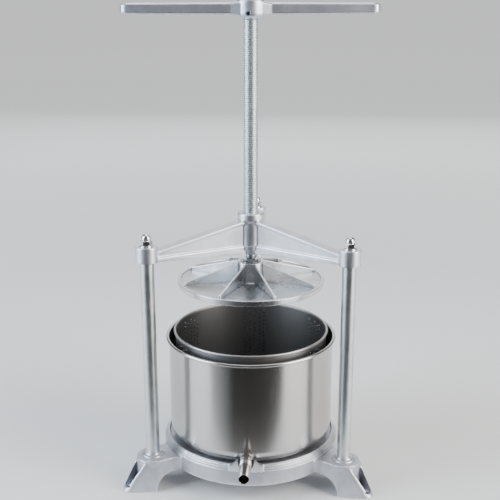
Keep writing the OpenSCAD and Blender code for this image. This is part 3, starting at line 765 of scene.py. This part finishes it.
spigots = turned("spigots", rounded([
    (0, SPIGOT_LOW_Z), (SPIGOT_D / 2, SPIGOT_LOW_Z, 1), (SPIGOT_D / 2, SHOULDER_Z + 0.6),
    (SPIGOT_D / 2 + 1, SHOULDER_Z + 1.2), (TOP_SPIGOT_D / 2, HUB_Z - 1),
    (TOP_SPIGOT_D / 2, HUB_Z + TOP_SPIGOT_H, 1), (0, HUB_Z + TOP_SPIGOT_H),
]), steps=64)
spigots.data.materials.append(screw_zinc)
cut(thread, spigots, "UNION")
smooth(thread, 28)
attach(thread, "screw")
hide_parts("press_screw")


# ---- Handle ----
# A tee handle cast in aluminium. The two-part mould leaves a faint line half
# way up each arm, and a spring pin through the hub locks it to the screw.

HUB_R = 23
PIN_Z = 761
PIN_TURN = math.radians(263)

handle = recast("handle", "handle_shape", grain=0.8, passes=4, most_faces=120000)
pin_hole = turned("pin_hole", [(0, -2 * HUB_R), (3.05, -2 * HUB_R), (3.05, 2 * HUB_R), (0, 2 * HUB_R)], steps=40)
pin_hole.data.transform(
    Matrix.Translation((0, 0, PIN_Z * MM)) @ Matrix.Rotation(PIN_TURN, 4, "Z") @ Matrix.Rotation(math.pi / 2, 4, "Y")
)
cut(handle, pin_hole)
smooth(handle, 32)
handle_casting = make_casting(
    "handle_casting", dark=(0.60, 0.615, 0.69), light=(0.72, 0.735, 0.81), edge=(0.80, 0.82, 0.88),
    rough_low=0.34, rough_high=0.46, relief=0.0002, grain=1400.0, flow=40.0,
)
handle.data.materials.append(handle_casting)
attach(handle, "screw")
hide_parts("handle")

spring_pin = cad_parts["handle_pin"]
pin_steel = make_plated(
    "pin_steel", dull=(0.30, 0.30, 0.31), bright=(0.42, 0.42, 0.43), speck=(0.20, 0.20, 0.20),
    rough_low=0.3, rough_high=0.45, relief=0.00002, stretch=1.0,
)
spring_pin.data.materials.clear()
spring_pin.data.materials.append(pin_steel)


# ---- Swivel nuts and washers ----
# The screw turns in the plate's hub. A nut and a washer above the hub push the
# plate down, and a washer and a lock nut in its counterbore lift it again.

M16_FLATS = 24
SWIVEL_NUT_H = 8
SWIVEL_WASHER_R = 15
SWIVEL_WASHER_T = 3

for label, node in (("jam", "swivel_jam_nut"), ("lock", "swivel_lock_nut")):
    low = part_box(node)[0][2] / MM
    piece = nut(f"{label}_nut_m16", M16_FLATS, SWIVEL_NUT_H, SPIGOT_D / 2 + 0.05, low, spin=math.radians(4))
    smooth(piece)
    piece.data.materials.append(nut_zinc)
    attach(piece, "screw")
    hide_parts(node)

for label, node in (("upper", "swivel_top_washer"), ("lower", "swivel_bottom_washer")):
    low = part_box(node)[0][2] / MM
    piece = washer(f"{label}_swivel_washer", SWIVEL_WASHER_R, SWIVEL_WASHER_T, SPIGOT_D / 2 + 0.25, low)
    smooth(piece)
    piece.data.materials.append(nut_zinc)
    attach(piece, "screw")
    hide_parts(node)


# ---- Press plate ----
# A round aluminium plate with a raised lip, cast with eight thin ribs that run
# down from the hub. It is tumbled, so it is shinier and blotchier than the frame.

PLATE_R = 121
PLATE_LOW_Z = 327
PLATE_FLOOR_Z = 334
PLATE_LIP_Z = 336
PLATE_HUB_TOP_Z = 366
SWIVEL_SEAT_Z = 363
LOWER_SEAT_Z = 339
RECESS_R = 17.5
HUB_FOOT_R = 25.5
HUB_TOP_R = 22
RIB_COUNT = 8
RIB_END_R = 112.5

plate = turned("press_plate_shape", rounded([
    (SPIGOT_D / 2 + 0.05, LOWER_SEAT_Z), (RECESS_R, LOWER_SEAT_Z, 0.6), (RECESS_R, PLATE_LOW_Z, 0.6),
    (PLATE_R, PLATE_LOW_Z, 1.2), (PLATE_R, PLATE_LIP_Z, 0.9), (PLATE_R - 4.5, PLATE_LIP_Z, 0.7),
    (PLATE_R - 5.5, PLATE_FLOOR_Z, 0.8), (HUB_FOOT_R, PLATE_FLOOR_Z, 2.5), (HUB_TOP_R, PLATE_HUB_TOP_Z, 1.2),
    (RECESS_R, PLATE_HUB_TOP_Z, 0.6), (RECESS_R, SWIVEL_SEAT_Z, 0.3), (SPIGOT_D / 2 + 0.05, SWIVEL_SEAT_Z),
], steps=3), steps=256)
rib_shape = bmesh.new()
rib_ends = []
for x, top in ((HUB_TOP_R - 3, PLATE_HUB_TOP_Z - 1), (RIB_END_R, PLATE_FLOOR_Z + 5.5)):
    section = [(2.2, PLATE_FLOOR_Z - 1), (1.75, PLATE_FLOOR_Z + 1), (1.45, top - 0.9), (1.1, top - 0.2), (0.5, top)]
    section += [(-w, z) for w, z in reversed(section)]
    rib_ends.append([rib_shape.verts.new((x * MM, w * MM, z * MM)) for w, z in section])
rib_shape.faces.new(rib_ends[0])
rib_shape.faces.new(reversed(rib_ends[1]))
for i in range(len(rib_ends[0])):
    j = (i + 1) % len(rib_ends[0])
    rib_shape.faces.new((rib_ends[0][i], rib_ends[1][i], rib_ends[1][j], rib_ends[0][j]))
rib = as_object(rib_shape, "rib")
bead = turned("bead", rounded([
    (0, PLATE_FLOOR_Z - 1), (2.6, PLATE_FLOOR_Z - 1), (2.2, PLATE_FLOOR_Z + 6.2, 1.4), (0, PLATE_FLOOR_Z + 6.6),
]), steps=24)
bead.data.transform(Matrix.Translation((RIB_END_R * MM, 0, 0)))
cut(rib, bead, "UNION")
ring_of(rib, None, count=RIB_COUNT, radius=0.0, first_angle=math.pi / RIB_COUNT)
cut(plate, rib, "UNION")
smooth(plate, 32)
plate_casting = make_casting(
    "plate_casting", dark=(0.57, 0.58, 0.60), light=(0.66, 0.67, 0.69), edge=(0.95, 0.96, 0.97),
    rough_low=0.24, rough_high=0.34, relief=0.00006, grain=900.0, flow=30.0,
)
# The ribs' tops carry a painted highlight, and a painted shade line darkens the floor along their feet.
rib_tree = plate_casting.node_tree
rib_place = add_node(
    rib_tree, "ShaderNodeSeparateXYZ", Vector=rib_tree.nodes.new("ShaderNodeTexCoord").outputs["Object"]
).outputs
rib_x, rib_y = rib_place["X"], rib_place["Y"]
reach = calculated(rib_tree, "SQRT", calculated(
    rib_tree, "ADD", calculated(rib_tree, "POWER", rib_x, 2.0), calculated(rib_tree, "POWER", rib_y, 2.0)))
rib_pitch = math.tau / RIB_COUNT
round_axis = calculated(rib_tree, "ADD", calculated(rib_tree, "ARCTAN2", rib_y, rib_x), math.tau)
off_rib = calculated(rib_tree, "SUBTRACT", calculated(rib_tree, "MODULO", round_axis, rib_pitch), rib_pitch / 2)
beside = calculated(rib_tree, "ABSOLUTE", calculated(rib_tree, "MULTIPLY", calculated(rib_tree, "SINE", off_rib), reach))
foot_line = calculated(rib_tree, "MULTIPLY",
                       spread(rib_tree, beside, 1.4 * MM, 2.1 * MM, 0.0, 1.0),
                       spread(rib_tree, beside, 2.2 * MM, 4.5 * MM, 0.75, 0.0))
on_floor = spread(rib_tree, rib_place["Z"], (PLATE_FLOOR_Z + 0.5) * MM, (PLATE_FLOOR_Z + 5) * MM, 1.0, 0.0)
past_hub = spread(rib_tree, reach, (HUB_TOP_R + 2) * MM, (HUB_FOOT_R + 1) * MM, 0.0, 1.0)
inside_bead = spread(rib_tree, reach, (RIB_END_R + 1) * MM, (RIB_END_R + 4) * MM, 1.0, 0.0)
# Painted shade in the corner along each rib's foot.
painted_foot_shade = calculated(rib_tree, "MULTIPLY", calculated(rib_tree, "MULTIPLY", foot_line, on_floor),
                     calculated(rib_tree, "MULTIPLY", past_hub, inside_bead))
fall = (PLATE_HUB_TOP_Z - 1 - PLATE_FLOOR_Z - 5.5) / (RIB_END_R - HUB_TOP_R + 3)
top_here = calculated(rib_tree, "SUBTRACT", (PLATE_HUB_TOP_Z - 1 + fall * (HUB_TOP_R - 3)) * MM,
                      calculated(rib_tree, "MULTIPLY", reach, fall))
under_top = calculated(rib_tree, "SUBTRACT", top_here, rib_place["Z"])
# Painted highlight along each rib's top, which is also made a little rougher.
painted_top_highlight = calculated(rib_tree, "MULTIPLY", spread(rib_tree, under_top, 0.3 * MM, 1.1 * MM, 1.0, 0.0), past_hub)
plate_shader = rib_tree.nodes["Principled BSDF"]
plain_plate = plate_shader.inputs["Base Color"].links[0].from_socket
with_painted_foot_shade = tint(rib_tree, plain_plate, painted_foot_shade, (0.20, 0.20, 0.21))
rib_tree.links.new(tint(rib_tree, with_painted_foot_shade, painted_top_highlight, (0.97, 0.97, 0.98)), plate_shader.inputs["Base Color"])
plain_gloss = plate_shader.inputs["Roughness"].links[0].from_socket
rib_tree.links.new(
    calculated(rib_tree, "ADD", plain_gloss, calculated(rib_tree, "MULTIPLY", painted_top_highlight, 0.20)),
    plate_shader.inputs["Roughness"],
)
plate.data.materials.append(plate_casting)
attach(plate, "plate")
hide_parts("press_plate")


# ---- Juice container ----
# A deep-drawn stainless pot with its rim rolled outward over a wire's width.
# It is brushed round and round on the outside.

CONTAINER_R = 138
CONTAINER_TOP_Z = 239
CONTAINER_CORNER_R = 26
TRAY_Z = 60
SHEET_T = 1


def arc(centre_x, centre_z, radius, start, end, steps):
    """Points of a circular arc between two angles in degrees."""
    angles = [math.radians(start + (end - start) * k / steps) for k in range(steps + 1)]
    return [(centre_x + radius * math.cos(a), centre_z + radius * math.sin(a)) for a in angles]


def vessel_outline(radius, floor_z, top_z, corner_r, roll_r):
    """A round vessel's sheet in section: floor, corner, wall, and a rim rolled outward."""
    roll_x = radius - SHEET_T + roll_r
    meet = math.degrees(math.acos((radius - roll_x) / roll_r))
    return [
        (0, floor_z),
        *arc(radius - corner_r, floor_z + corner_r, corner_r, -90, 0, 12),
        *arc(roll_x, top_z - roll_r, roll_r, -meet, 180, 18),
        *arc(radius - corner_r, floor_z + corner_r, corner_r - SHEET_T, 0, -90, 12),
        (0, floor_z + SHEET_T),
    ]


def make_brushing():
    """Fine lines that run round a vessel, with broad soft bands and a few scratches."""
    tree, given, result = new_group("brushing", {"Fineness": 2600.0}, ["Lines", "Bands", "Scratches"])
    place = tree.nodes.new("ShaderNodeTexCoord").outputs["Object"]
    long_lines = add_node(tree, "ShaderNodeVectorMath", {"operation": "MULTIPLY"}, i0=place)
    long_lines.inputs[1].default_value = (0.012, 0.012, 1.0)
    line = add_node(tree, "ShaderNodeTexNoise", Vector=long_lines.outputs[0], Scale=given["Fineness"], Detail=4.0)
    band = add_node(tree, "ShaderNodeTexNoise", Vector=place, Scale=9.0, Detail=3.0)
    short_lines = add_node(tree, "ShaderNodeVectorMath", {"operation": "MULTIPLY"}, i0=place)
    short_lines.inputs[1].default_value = (0.02, 0.02, 1.0)
    scratch = add_node(tree, "ShaderNodeTexNoise", Vector=short_lines.outputs[0], Scale=700.0, Detail=1.0)
    tree.links.new(line.outputs["Fac"], result["Lines"])
    tree.links.new(band.outputs["Fac"], result["Bands"])
    tree.links.new(spread(tree, scratch.outputs["Fac"], 0.66, 0.74, 0.0, 1.0), result["Scratches"])
    return tree


brushing = make_brushing()


def make_brushed(name, dark, light, rough_low, rough_high, relief, anisotropy):
    """Brushed stainless steel between two tones."""
    material, tree, shader = new_metal(name)
    brush = add_node(tree, "ShaderNodeGroup", {"node_tree": brushing})
    mixed = calculated(tree, "ADD", calculated(tree, "MULTIPLY", brush.outputs["Lines"], 0.45),
                       calculated(tree, "MULTIPLY", brush.outputs["Bands"], 0.55))
    body = blend_colours(tree, spread(tree, mixed, 0.2, 0.8, 0.0, 1.0), dark, light)
    scored = tint(tree, body, calculated(tree, "MULTIPLY", brush.outputs["Scratches"], 0.10), [c * 0.6 for c in dark])
    tree.links.new(scored, shader.inputs["Base Color"])
    tree.links.new(spread(tree, mixed, 0.2, 0.8, rough_high, rough_low), shader.inputs["Roughness"])
    bump = add_node(tree, "ShaderNodeBump", Height=brush.outputs["Lines"], Distance=relief, Strength=0.35)
    tree.links.new(bump.outputs["Normal"], shader.inputs["Normal"])
    shader.inputs["Anisotropic"].default_value = anisotropy
    shader.inputs["Anisotropic Rotation"].default_value = 0.25
    round_z = add_node(tree, "ShaderNodeTangent", {"direction_type": "RADIAL", "axis": "Z"})
    tree.links.new(round_z.outputs[0], shader.inputs["Tangent"])
    return material


container_steel = make_brushed(
    "container_steel", dark=(0.50, 0.48, 0.465), light=(0.64, 0.625, 0.61),
    rough_low=0.20, rough_high=0.28, relief=0.00001, anisotropy=0.75,
)

SPOUT_Z = 75.5
SPOUT_R = 8.5


def across_front(name, outline, steps=64):
    """An outline of (radius, distance to the front) turned about the spout's axis."""
    made = turned(name, outline, steps)
    made.data.transform(Matrix.Translation((0, 0, SPOUT_Z * MM)) @ Matrix.Rotation(math.pi / 2, 4, "X"))
    return made


container = turned("container", vessel_outline(CONTAINER_R, TRAY_Z, CONTAINER_TOP_Z, CONTAINER_CORNER_R, 2.8), 288)
spout_drill = across_front("spout_drill", [(0, 100), (SPOUT_R + 0.05, 100), (SPOUT_R + 0.05, 160), (0, 160)])
cut(container, spout_drill)
smooth(container, 35)
container.data.materials.append(container_steel)
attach(container, "container")
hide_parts("container_shell")


# ---- Spout ----
# A stainless pipe welded into the container's lower corner, with a flared
# collar at the weld and three shallow rings that grip a hose.

SPOUT_REACH = 204
SPOUT_INNER = 129
SPOUT_WALL = 1
COLLAR_R = 10.4
COLLAR_END = 149

spout_steel = make_brushed(
    "spout_steel", dark=(0.52, 0.50, 0.48), light=(0.68, 0.66, 0.64),
    rough_low=0.16, rough_high=0.30, relief=0.00002, anisotropy=0.0,
)

hose_rings = [
    corner
    for i in range(3)
    for corner in ((SPOUT_R, 153 + 5 * i), (SPOUT_R + 0.75, 155.8 + 5 * i, 0.3), (SPOUT_R, 156.4 + 5 * i))
]
pipe = across_front("spout", rounded([
    (SPOUT_R - SPOUT_WALL, SPOUT_INNER), (SPOUT_R, SPOUT_INNER), *hose_rings,
    (SPOUT_R, SPOUT_REACH, 0.4), (SPOUT_R - SPOUT_WALL, SPOUT_REACH, 0.4),
], steps=3))
smooth(pipe, 35)
pipe.data.materials.append(spout_steel)
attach(pipe, "container")
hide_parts("spout_pipe")

collar = across_front("spout_weld", rounded([
    (SPOUT_R + 0.05, 128), (COLLAR_R + 0.6, 128), (COLLAR_R, 136.5), (SPOUT_R + 1.2, 138.5, 2.5),
    (SPOUT_R + 0.8, COLLAR_END, 0.6), (SPOUT_R + 0.05, COLLAR_END),
]))
inside_wall = turned("inside_wall", [
    (0, TRAY_Z), *arc(CONTAINER_R - CONTAINER_CORNER_R, TRAY_Z + CONTAINER_CORNER_R,
                      CONTAINER_CORNER_R + 0.05, -90, 0, 24),
    (CONTAINER_R + 0.05, 130), (0, 130),
], steps=288)
cut(collar, inside_wall)
smooth(collar, 35)
collar.data.materials.append(spout_steel)
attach(collar, "container")
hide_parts("spout_collar")


# ---- Basket ----
# A stainless basket that stands on small feet inside the container. Six bands
# of punched holes let the juice out, each of five staggered columns.

BASKET_R = 127
BASKET_FLOOR_Z = 65
BASKET_TOP_Z = 249
BASKET_CORNER_R = 12
HOLE_D = 3
BAND_COUNT = 6
BAND_COLUMNS = 5
COLUMN_PITCH = 8.8
ROW_PITCH = 7.4
ROW_COUNT = 22
FIRST_ROW_Z = BASKET_TOP_Z - 12.5


def make_punch_tree():
    """A geometry tree that punches bands of staggered holes through a round wall."""
    tree = bpy.data.node_groups.new("punched_bands", "GeometryNodeTree")
    tree.interface.new_socket(name="Wall", in_out="INPUT", socket_type="NodeSocketGeometry")
    for label, value in (
        ("Wall Radius", 0.127), ("Hole Diameter", 0.003), ("Column Pitch", 0.0088),
        ("Row Pitch", 0.0074), ("First Row", 0.2365), ("First Angle", -math.pi / 2),
    ):
        tree.interface.new_socket(name=label, in_out="INPUT", socket_type="NodeSocketFloat").default_value = value
    for label, value in (("Bands", 6), ("Columns", 5), ("Rows", 22)):
        tree.interface.new_socket(name=label, in_out="INPUT", socket_type="NodeSocketInt").default_value = value
    tree.interface.new_socket(name="Finish", in_out="INPUT", socket_type="NodeSocketMaterial")
    tree.interface.new_socket(name="Punched", in_out="OUTPUT", socket_type="NodeSocketGeometry")
    given = tree.nodes.new("NodeGroupInput").outputs
    per_band = calculated(tree, "MULTIPLY", given["Columns"], given["Rows"])
    points = add_node(tree, "GeometryNodePoints", Count=calculated(tree, "MULTIPLY", per_band, given["Bands"]))
    index = tree.nodes.new("GeometryNodeInputIndex").outputs[0]
    middle = calculated(tree, "ADD", index, 0.5)
    band = calculated(tree, "FLOOR", calculated(tree, "DIVIDE", middle, per_band))
    in_band = calculated(tree, "SUBTRACT", middle, calculated(tree, "MULTIPLY", band, per_band))
    column = calculated(tree, "FLOOR", calculated(tree, "DIVIDE", in_band, given["Rows"]))
    in_column = calculated(tree, "SUBTRACT", in_band, calculated(tree, "MULTIPLY", column, given["Rows"]))
    row = calculated(tree, "FLOOR", in_column)

    centred = calculated(tree, "SUBTRACT", column, calculated(
        tree, "DIVIDE", calculated(tree, "SUBTRACT", given["Columns"], 1.0), 2.0))
    step = calculated(tree, "DIVIDE", given["Column Pitch"], given["Wall Radius"])
    sideways = calculated(tree, "MULTIPLY", centred, step)
    band_pitch = calculated(tree, "DIVIDE", math.tau, given["Bands"])
    band_angle = calculated(tree, "ADD", calculated(tree, "MULTIPLY", band, band_pitch), given["First Angle"])
    angle = calculated(tree, "ADD", band_angle, sideways)
    stagger = calculated(tree, "MULTIPLY", calculated(tree, "MODULO", column, 2.0), 0.5)
    drop = calculated(tree, "MULTIPLY", calculated(tree, "ADD", row, stagger), given["Row Pitch"])
    x = calculated(tree, "MULTIPLY", calculated(tree, "COSINE", angle), given["Wall Radius"])
    y = calculated(tree, "MULTIPLY", calculated(tree, "SINE", angle), given["Wall Radius"])
    place = add_node(
        tree, "ShaderNodeCombineXYZ", X=x, Y=y, Z=calculated(tree, "SUBTRACT", given["First Row"], drop)
    )
    set_out = add_node(tree, "GeometryNodeSetPosition", Geometry=points.outputs[0], Position=place.outputs[0])
    turn = add_node(tree, "ShaderNodeCombineXYZ", Y=math.pi / 2, Z=angle)
    punch = add_node(
        tree, "GeometryNodeMeshCylinder", Vertices=12,
        Radius=calculated(tree, "DIVIDE", given["Hole Diameter"], 2.0), Depth=0.006,
    )
    punches = add_node(
        tree, "GeometryNodeInstanceOnPoints",
        Points=set_out.outputs[0], Instance=punch.outputs["Mesh"], Rotation=turn.outputs[0],
    )
    tools = add_node(tree, "GeometryNodeRealizeInstances", Geometry=punches.outputs[0])
    cutter = tree.nodes.new("GeometryNodeMeshBoolean")
    cutter.operation = "DIFFERENCE"
    cutter.solver = "MANIFOLD"
    tree.links.new(given["Wall"], cutter.inputs["Mesh 1"])
    tree.links.new(tools.outputs[0], cutter.inputs["Mesh 2"])
    real = add_node(tree, "GeometryNodeRealizeInstances", Geometry=cutter.outputs[0])
    finish = add_node(tree, "GeometryNodeSetMaterial", Geometry=real.outputs[0], Material=given["Finish"])
    out = tree.nodes.new("NodeGroupOutput")
    tree.links.new(finish.outputs[0], out.inputs[0])
    return tree


basket_steel = make_brushed(
    "basket_steel", dark=(0.46, 0.45, 0.44), light=(0.56, 0.545, 0.535),
    rough_low=0.38, rough_high=0.48, relief=0.00002, anisotropy=0.2,
)
# Below the rim the basket's colour is darkened towards a dark grey: painted shade inside the pot. Only the rim keeps
# the plain brushed tone.
sheet_tree = basket_steel.node_tree
sheet_place = add_node(
    sheet_tree, "ShaderNodeSeparateXYZ", Vector=sheet_tree.nodes.new("ShaderNodeTexCoord").outputs["Object"]
).outputs
painted_shade_below_rim = spread(sheet_tree, sheet_place["Z"], (BASKET_TOP_Z - 5) * MM, (BASKET_TOP_Z - 3.2) * MM, 0.85, 0.0)
sheet_shader = sheet_tree.nodes["Principled BSDF"]
plain_sheet = sheet_shader.inputs["Base Color"].links[0].from_socket
sheet_tree.links.new(
    tint(sheet_tree, plain_sheet, painted_shade_below_rim, (0.24, 0.235, 0.235)), sheet_shader.inputs["Base Color"]
)

basket = turned("basket", vessel_outline(BASKET_R, BASKET_FLOOR_Z, BASKET_TOP_Z, BASKET_CORNER_R, 1.85), 288)
grown(
    basket, make_punch_tree(), Wall_Radius=BASKET_R * MM, Hole_Diameter=HOLE_D * MM, Column_Pitch=COLUMN_PITCH * MM,
    Row_Pitch=ROW_PITCH * MM, First_Row=FIRST_ROW_Z * MM, First_Angle=-math.pi / 2, Bands=BAND_COUNT,
    Columns=BAND_COLUMNS, Rows=ROW_COUNT, Finish=basket_steel,
)
basket_foot = turned("basket_foot", rounded([
    (0, TRAY_Z + SHEET_T), (6, TRAY_Z + SHEET_T, 1), (6, BASKET_FLOOR_Z + 0.4), (0, BASKET_FLOOR_Z + 0.4),
]), steps=32)
ring_of(basket_foot, basket_steel, count=6, radius=95 * MM, first_angle=0.0)
cut(basket, basket_foot, "UNION")
smooth(basket, 35)
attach(basket, "basket")
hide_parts("basket_shell")


# ---- Floor and light ----
# A pale floor, a large cool softbox to the left, a neutral one to the right and
# weak ones overhead and behind. Polished steel also mirrors a dark room in front.

floor_shape = bmesh.new()
bmesh.ops.create_circle(floor_shape, cap_ends=True, segments=96, radius=60)
floor = as_object(floor_shape, "floor")
floor.data.transform(Matrix.Translation((0, 0, cad_box[0][2] - 0.0002)))
pale, pale_tree, pale_shader = new_metal("pale_floor", metallic=0.0)
pale_grain = add_node(pale_tree, "ShaderNodeTexNoise", Scale=12.0, Detail=3.0)
pale_tree.links.new(
    blend_colours(pale_tree, pale_grain.outputs["Fac"], (0.80, 0.80, 0.80), (0.83, 0.83, 0.83)),
    pale_shader.inputs["Base Color"],
)
pale_shader.inputs["Roughness"].default_value = 0.9
# Far from the lights the floor glows a little, only as the camera sees it, so it stays even.
far_away = add_node(
    pale_tree, "ShaderNodeVectorMath", {"operation": "LENGTH"},
    i0=pale_tree.nodes.new("ShaderNodeTexCoord").outputs["Object"],
).outputs["Value"]
glow = calculated(
    pale_tree, "ADD", spread(pale_tree, far_away, 1.3, 3.0, 0.0, 0.46), spread(pale_tree, far_away, 3.0, 8.0, 0.0, 0.12)
)
only_seen = pale_tree.nodes.new("ShaderNodeLightPath").outputs["Is Camera Ray"]
pale_shader.inputs["Emission Color"].default_value = (1, 1, 1, 1)
pale_tree.links.new(calculated(pale_tree, "MULTIPLY", glow, only_seen), pale_shader.inputs["Emission Strength"])
floor.data.materials.append(pale)

# The dark front is a sheet on the floor that only mirrored rays meet.
dark_shape = bmesh.new()
dark_shape.faces.new([
    dark_shape.verts.new((x, y, 0.001))
    for x, y in (
        (0.075, -0.240), (-0.06, -0.240), (-0.28, -0.30), (-2.6, -1.8), (-2.6, -3.4),
        (3.4, -3.4), (0.66, -0.62), (0.46, -0.47), (0.27, -0.33),
    )
])
dark_front = as_object(dark_shape, "dark_front")
dark_front.visible_camera = False
dark_front.visible_diffuse = False
dark_front.visible_shadow = False
gloom, gloom_tree, gloom_shader = new_metal("gloom", metallic=0.0)
gloom_shader.inputs["Base Color"].default_value = (0, 0, 0, 1)
gloom_shader.inputs["Specular IOR Level"].default_value = 0.0
gloom_place = add_node(
    gloom_tree, "ShaderNodeSeparateXYZ", Vector=gloom_tree.nodes.new("ShaderNodeTexCoord").outputs["Object"]
).outputs
near = calculated(gloom_tree, "POWER", spread(gloom_tree, gloom_place["Y"], -0.44, -0.240, 0.0, 1.0), 2.2)
floor_tone = blend_colours(gloom_tree, near, (0.034, 0.033, 0.032), (0.24, 0.235, 0.23))
leftward = calculated(gloom_tree, "DIVIDE", calculated(gloom_tree, "ADD", gloom_place["X"], 0.02),
                      calculated(gloom_tree, "ADD", gloom_place["Y"], 0.13))
side_fade = calculated(gloom_tree, "POWER", spread(gloom_tree, leftward, 0.42, 1.45, 0.0, 1.0), 0.8)
gloom_tree.links.new(
    tint(gloom_tree, floor_tone, side_fade, (0.56, 0.60, 0.64)), gloom_shader.inputs["Emission Color"]
)
gloom_shader.inputs["Emission Strength"].default_value = 1.0
dark_front.data.materials.append(gloom)


def softbox(name, place, width, height, power, colour):
    """A rectangular light that faces the middle of the press."""
    light = bpy.data.lights.new(name, "AREA")
    light.shape = "RECTANGLE"
    light.size = width
    light.size_y = height
    light.energy = power
    light.color = colour
    lamp = bpy.data.objects.new(name, light)
    lamp.visible_camera = False
    aim = Vector((0, 0, 0.35)) - Vector(place)
    lamp.matrix_world = Matrix.Translation(place) @ aim.to_track_quat("-Z", "Y").to_matrix().to_4x4()
    bpy.context.collection.objects.link(lamp)


softbox("left_softbox", (-2.9, -1.0, 1.45), 2.2, 3.2, 200, (0.76, 0.88, 1.0))
softbox("right_softbox", (2.9, -1.18, 1.45), 2.2, 3.2, 200, (1.0, 0.97, 0.93))
softbox("top_softbox", (0.0, 0.3, 2.4), 1.6, 1.6, 22, (1.0, 1.0, 1.0))
softbox("rear_softbox", (0.0, 3.6, 1.9), 3.9, 2.6, 42, (0.95, 0.97, 1.0))

world = bpy.data.worlds.new("studio")
world.use_nodes = True
bpy.context.scene.world = world
sky = world.node_tree
backdrop = sky.nodes["Background"]
paths = add_node(sky, "ShaderNodeLightPath")
mirrored = add_node(sky, "ShaderNodeMix", {"data_type": "RGBA"}, i0=paths.outputs["Is Glossy Ray"])
mirrored.inputs[6].default_value = (0.22, 0.225, 0.235, 1)
mirrored.inputs[7].default_value = (0.13, 0.135, 0.14, 1)
shade = add_node(sky, "ShaderNodeMix", {"data_type": "RGBA"}, i0=paths.outputs["Is Camera Ray"], i6=mirrored.outputs[2])
shade.inputs[7].default_value = (0.80, 0.80, 0.80, 1)
sky.links.new(shade.outputs[2], backdrop.inputs["Color"])
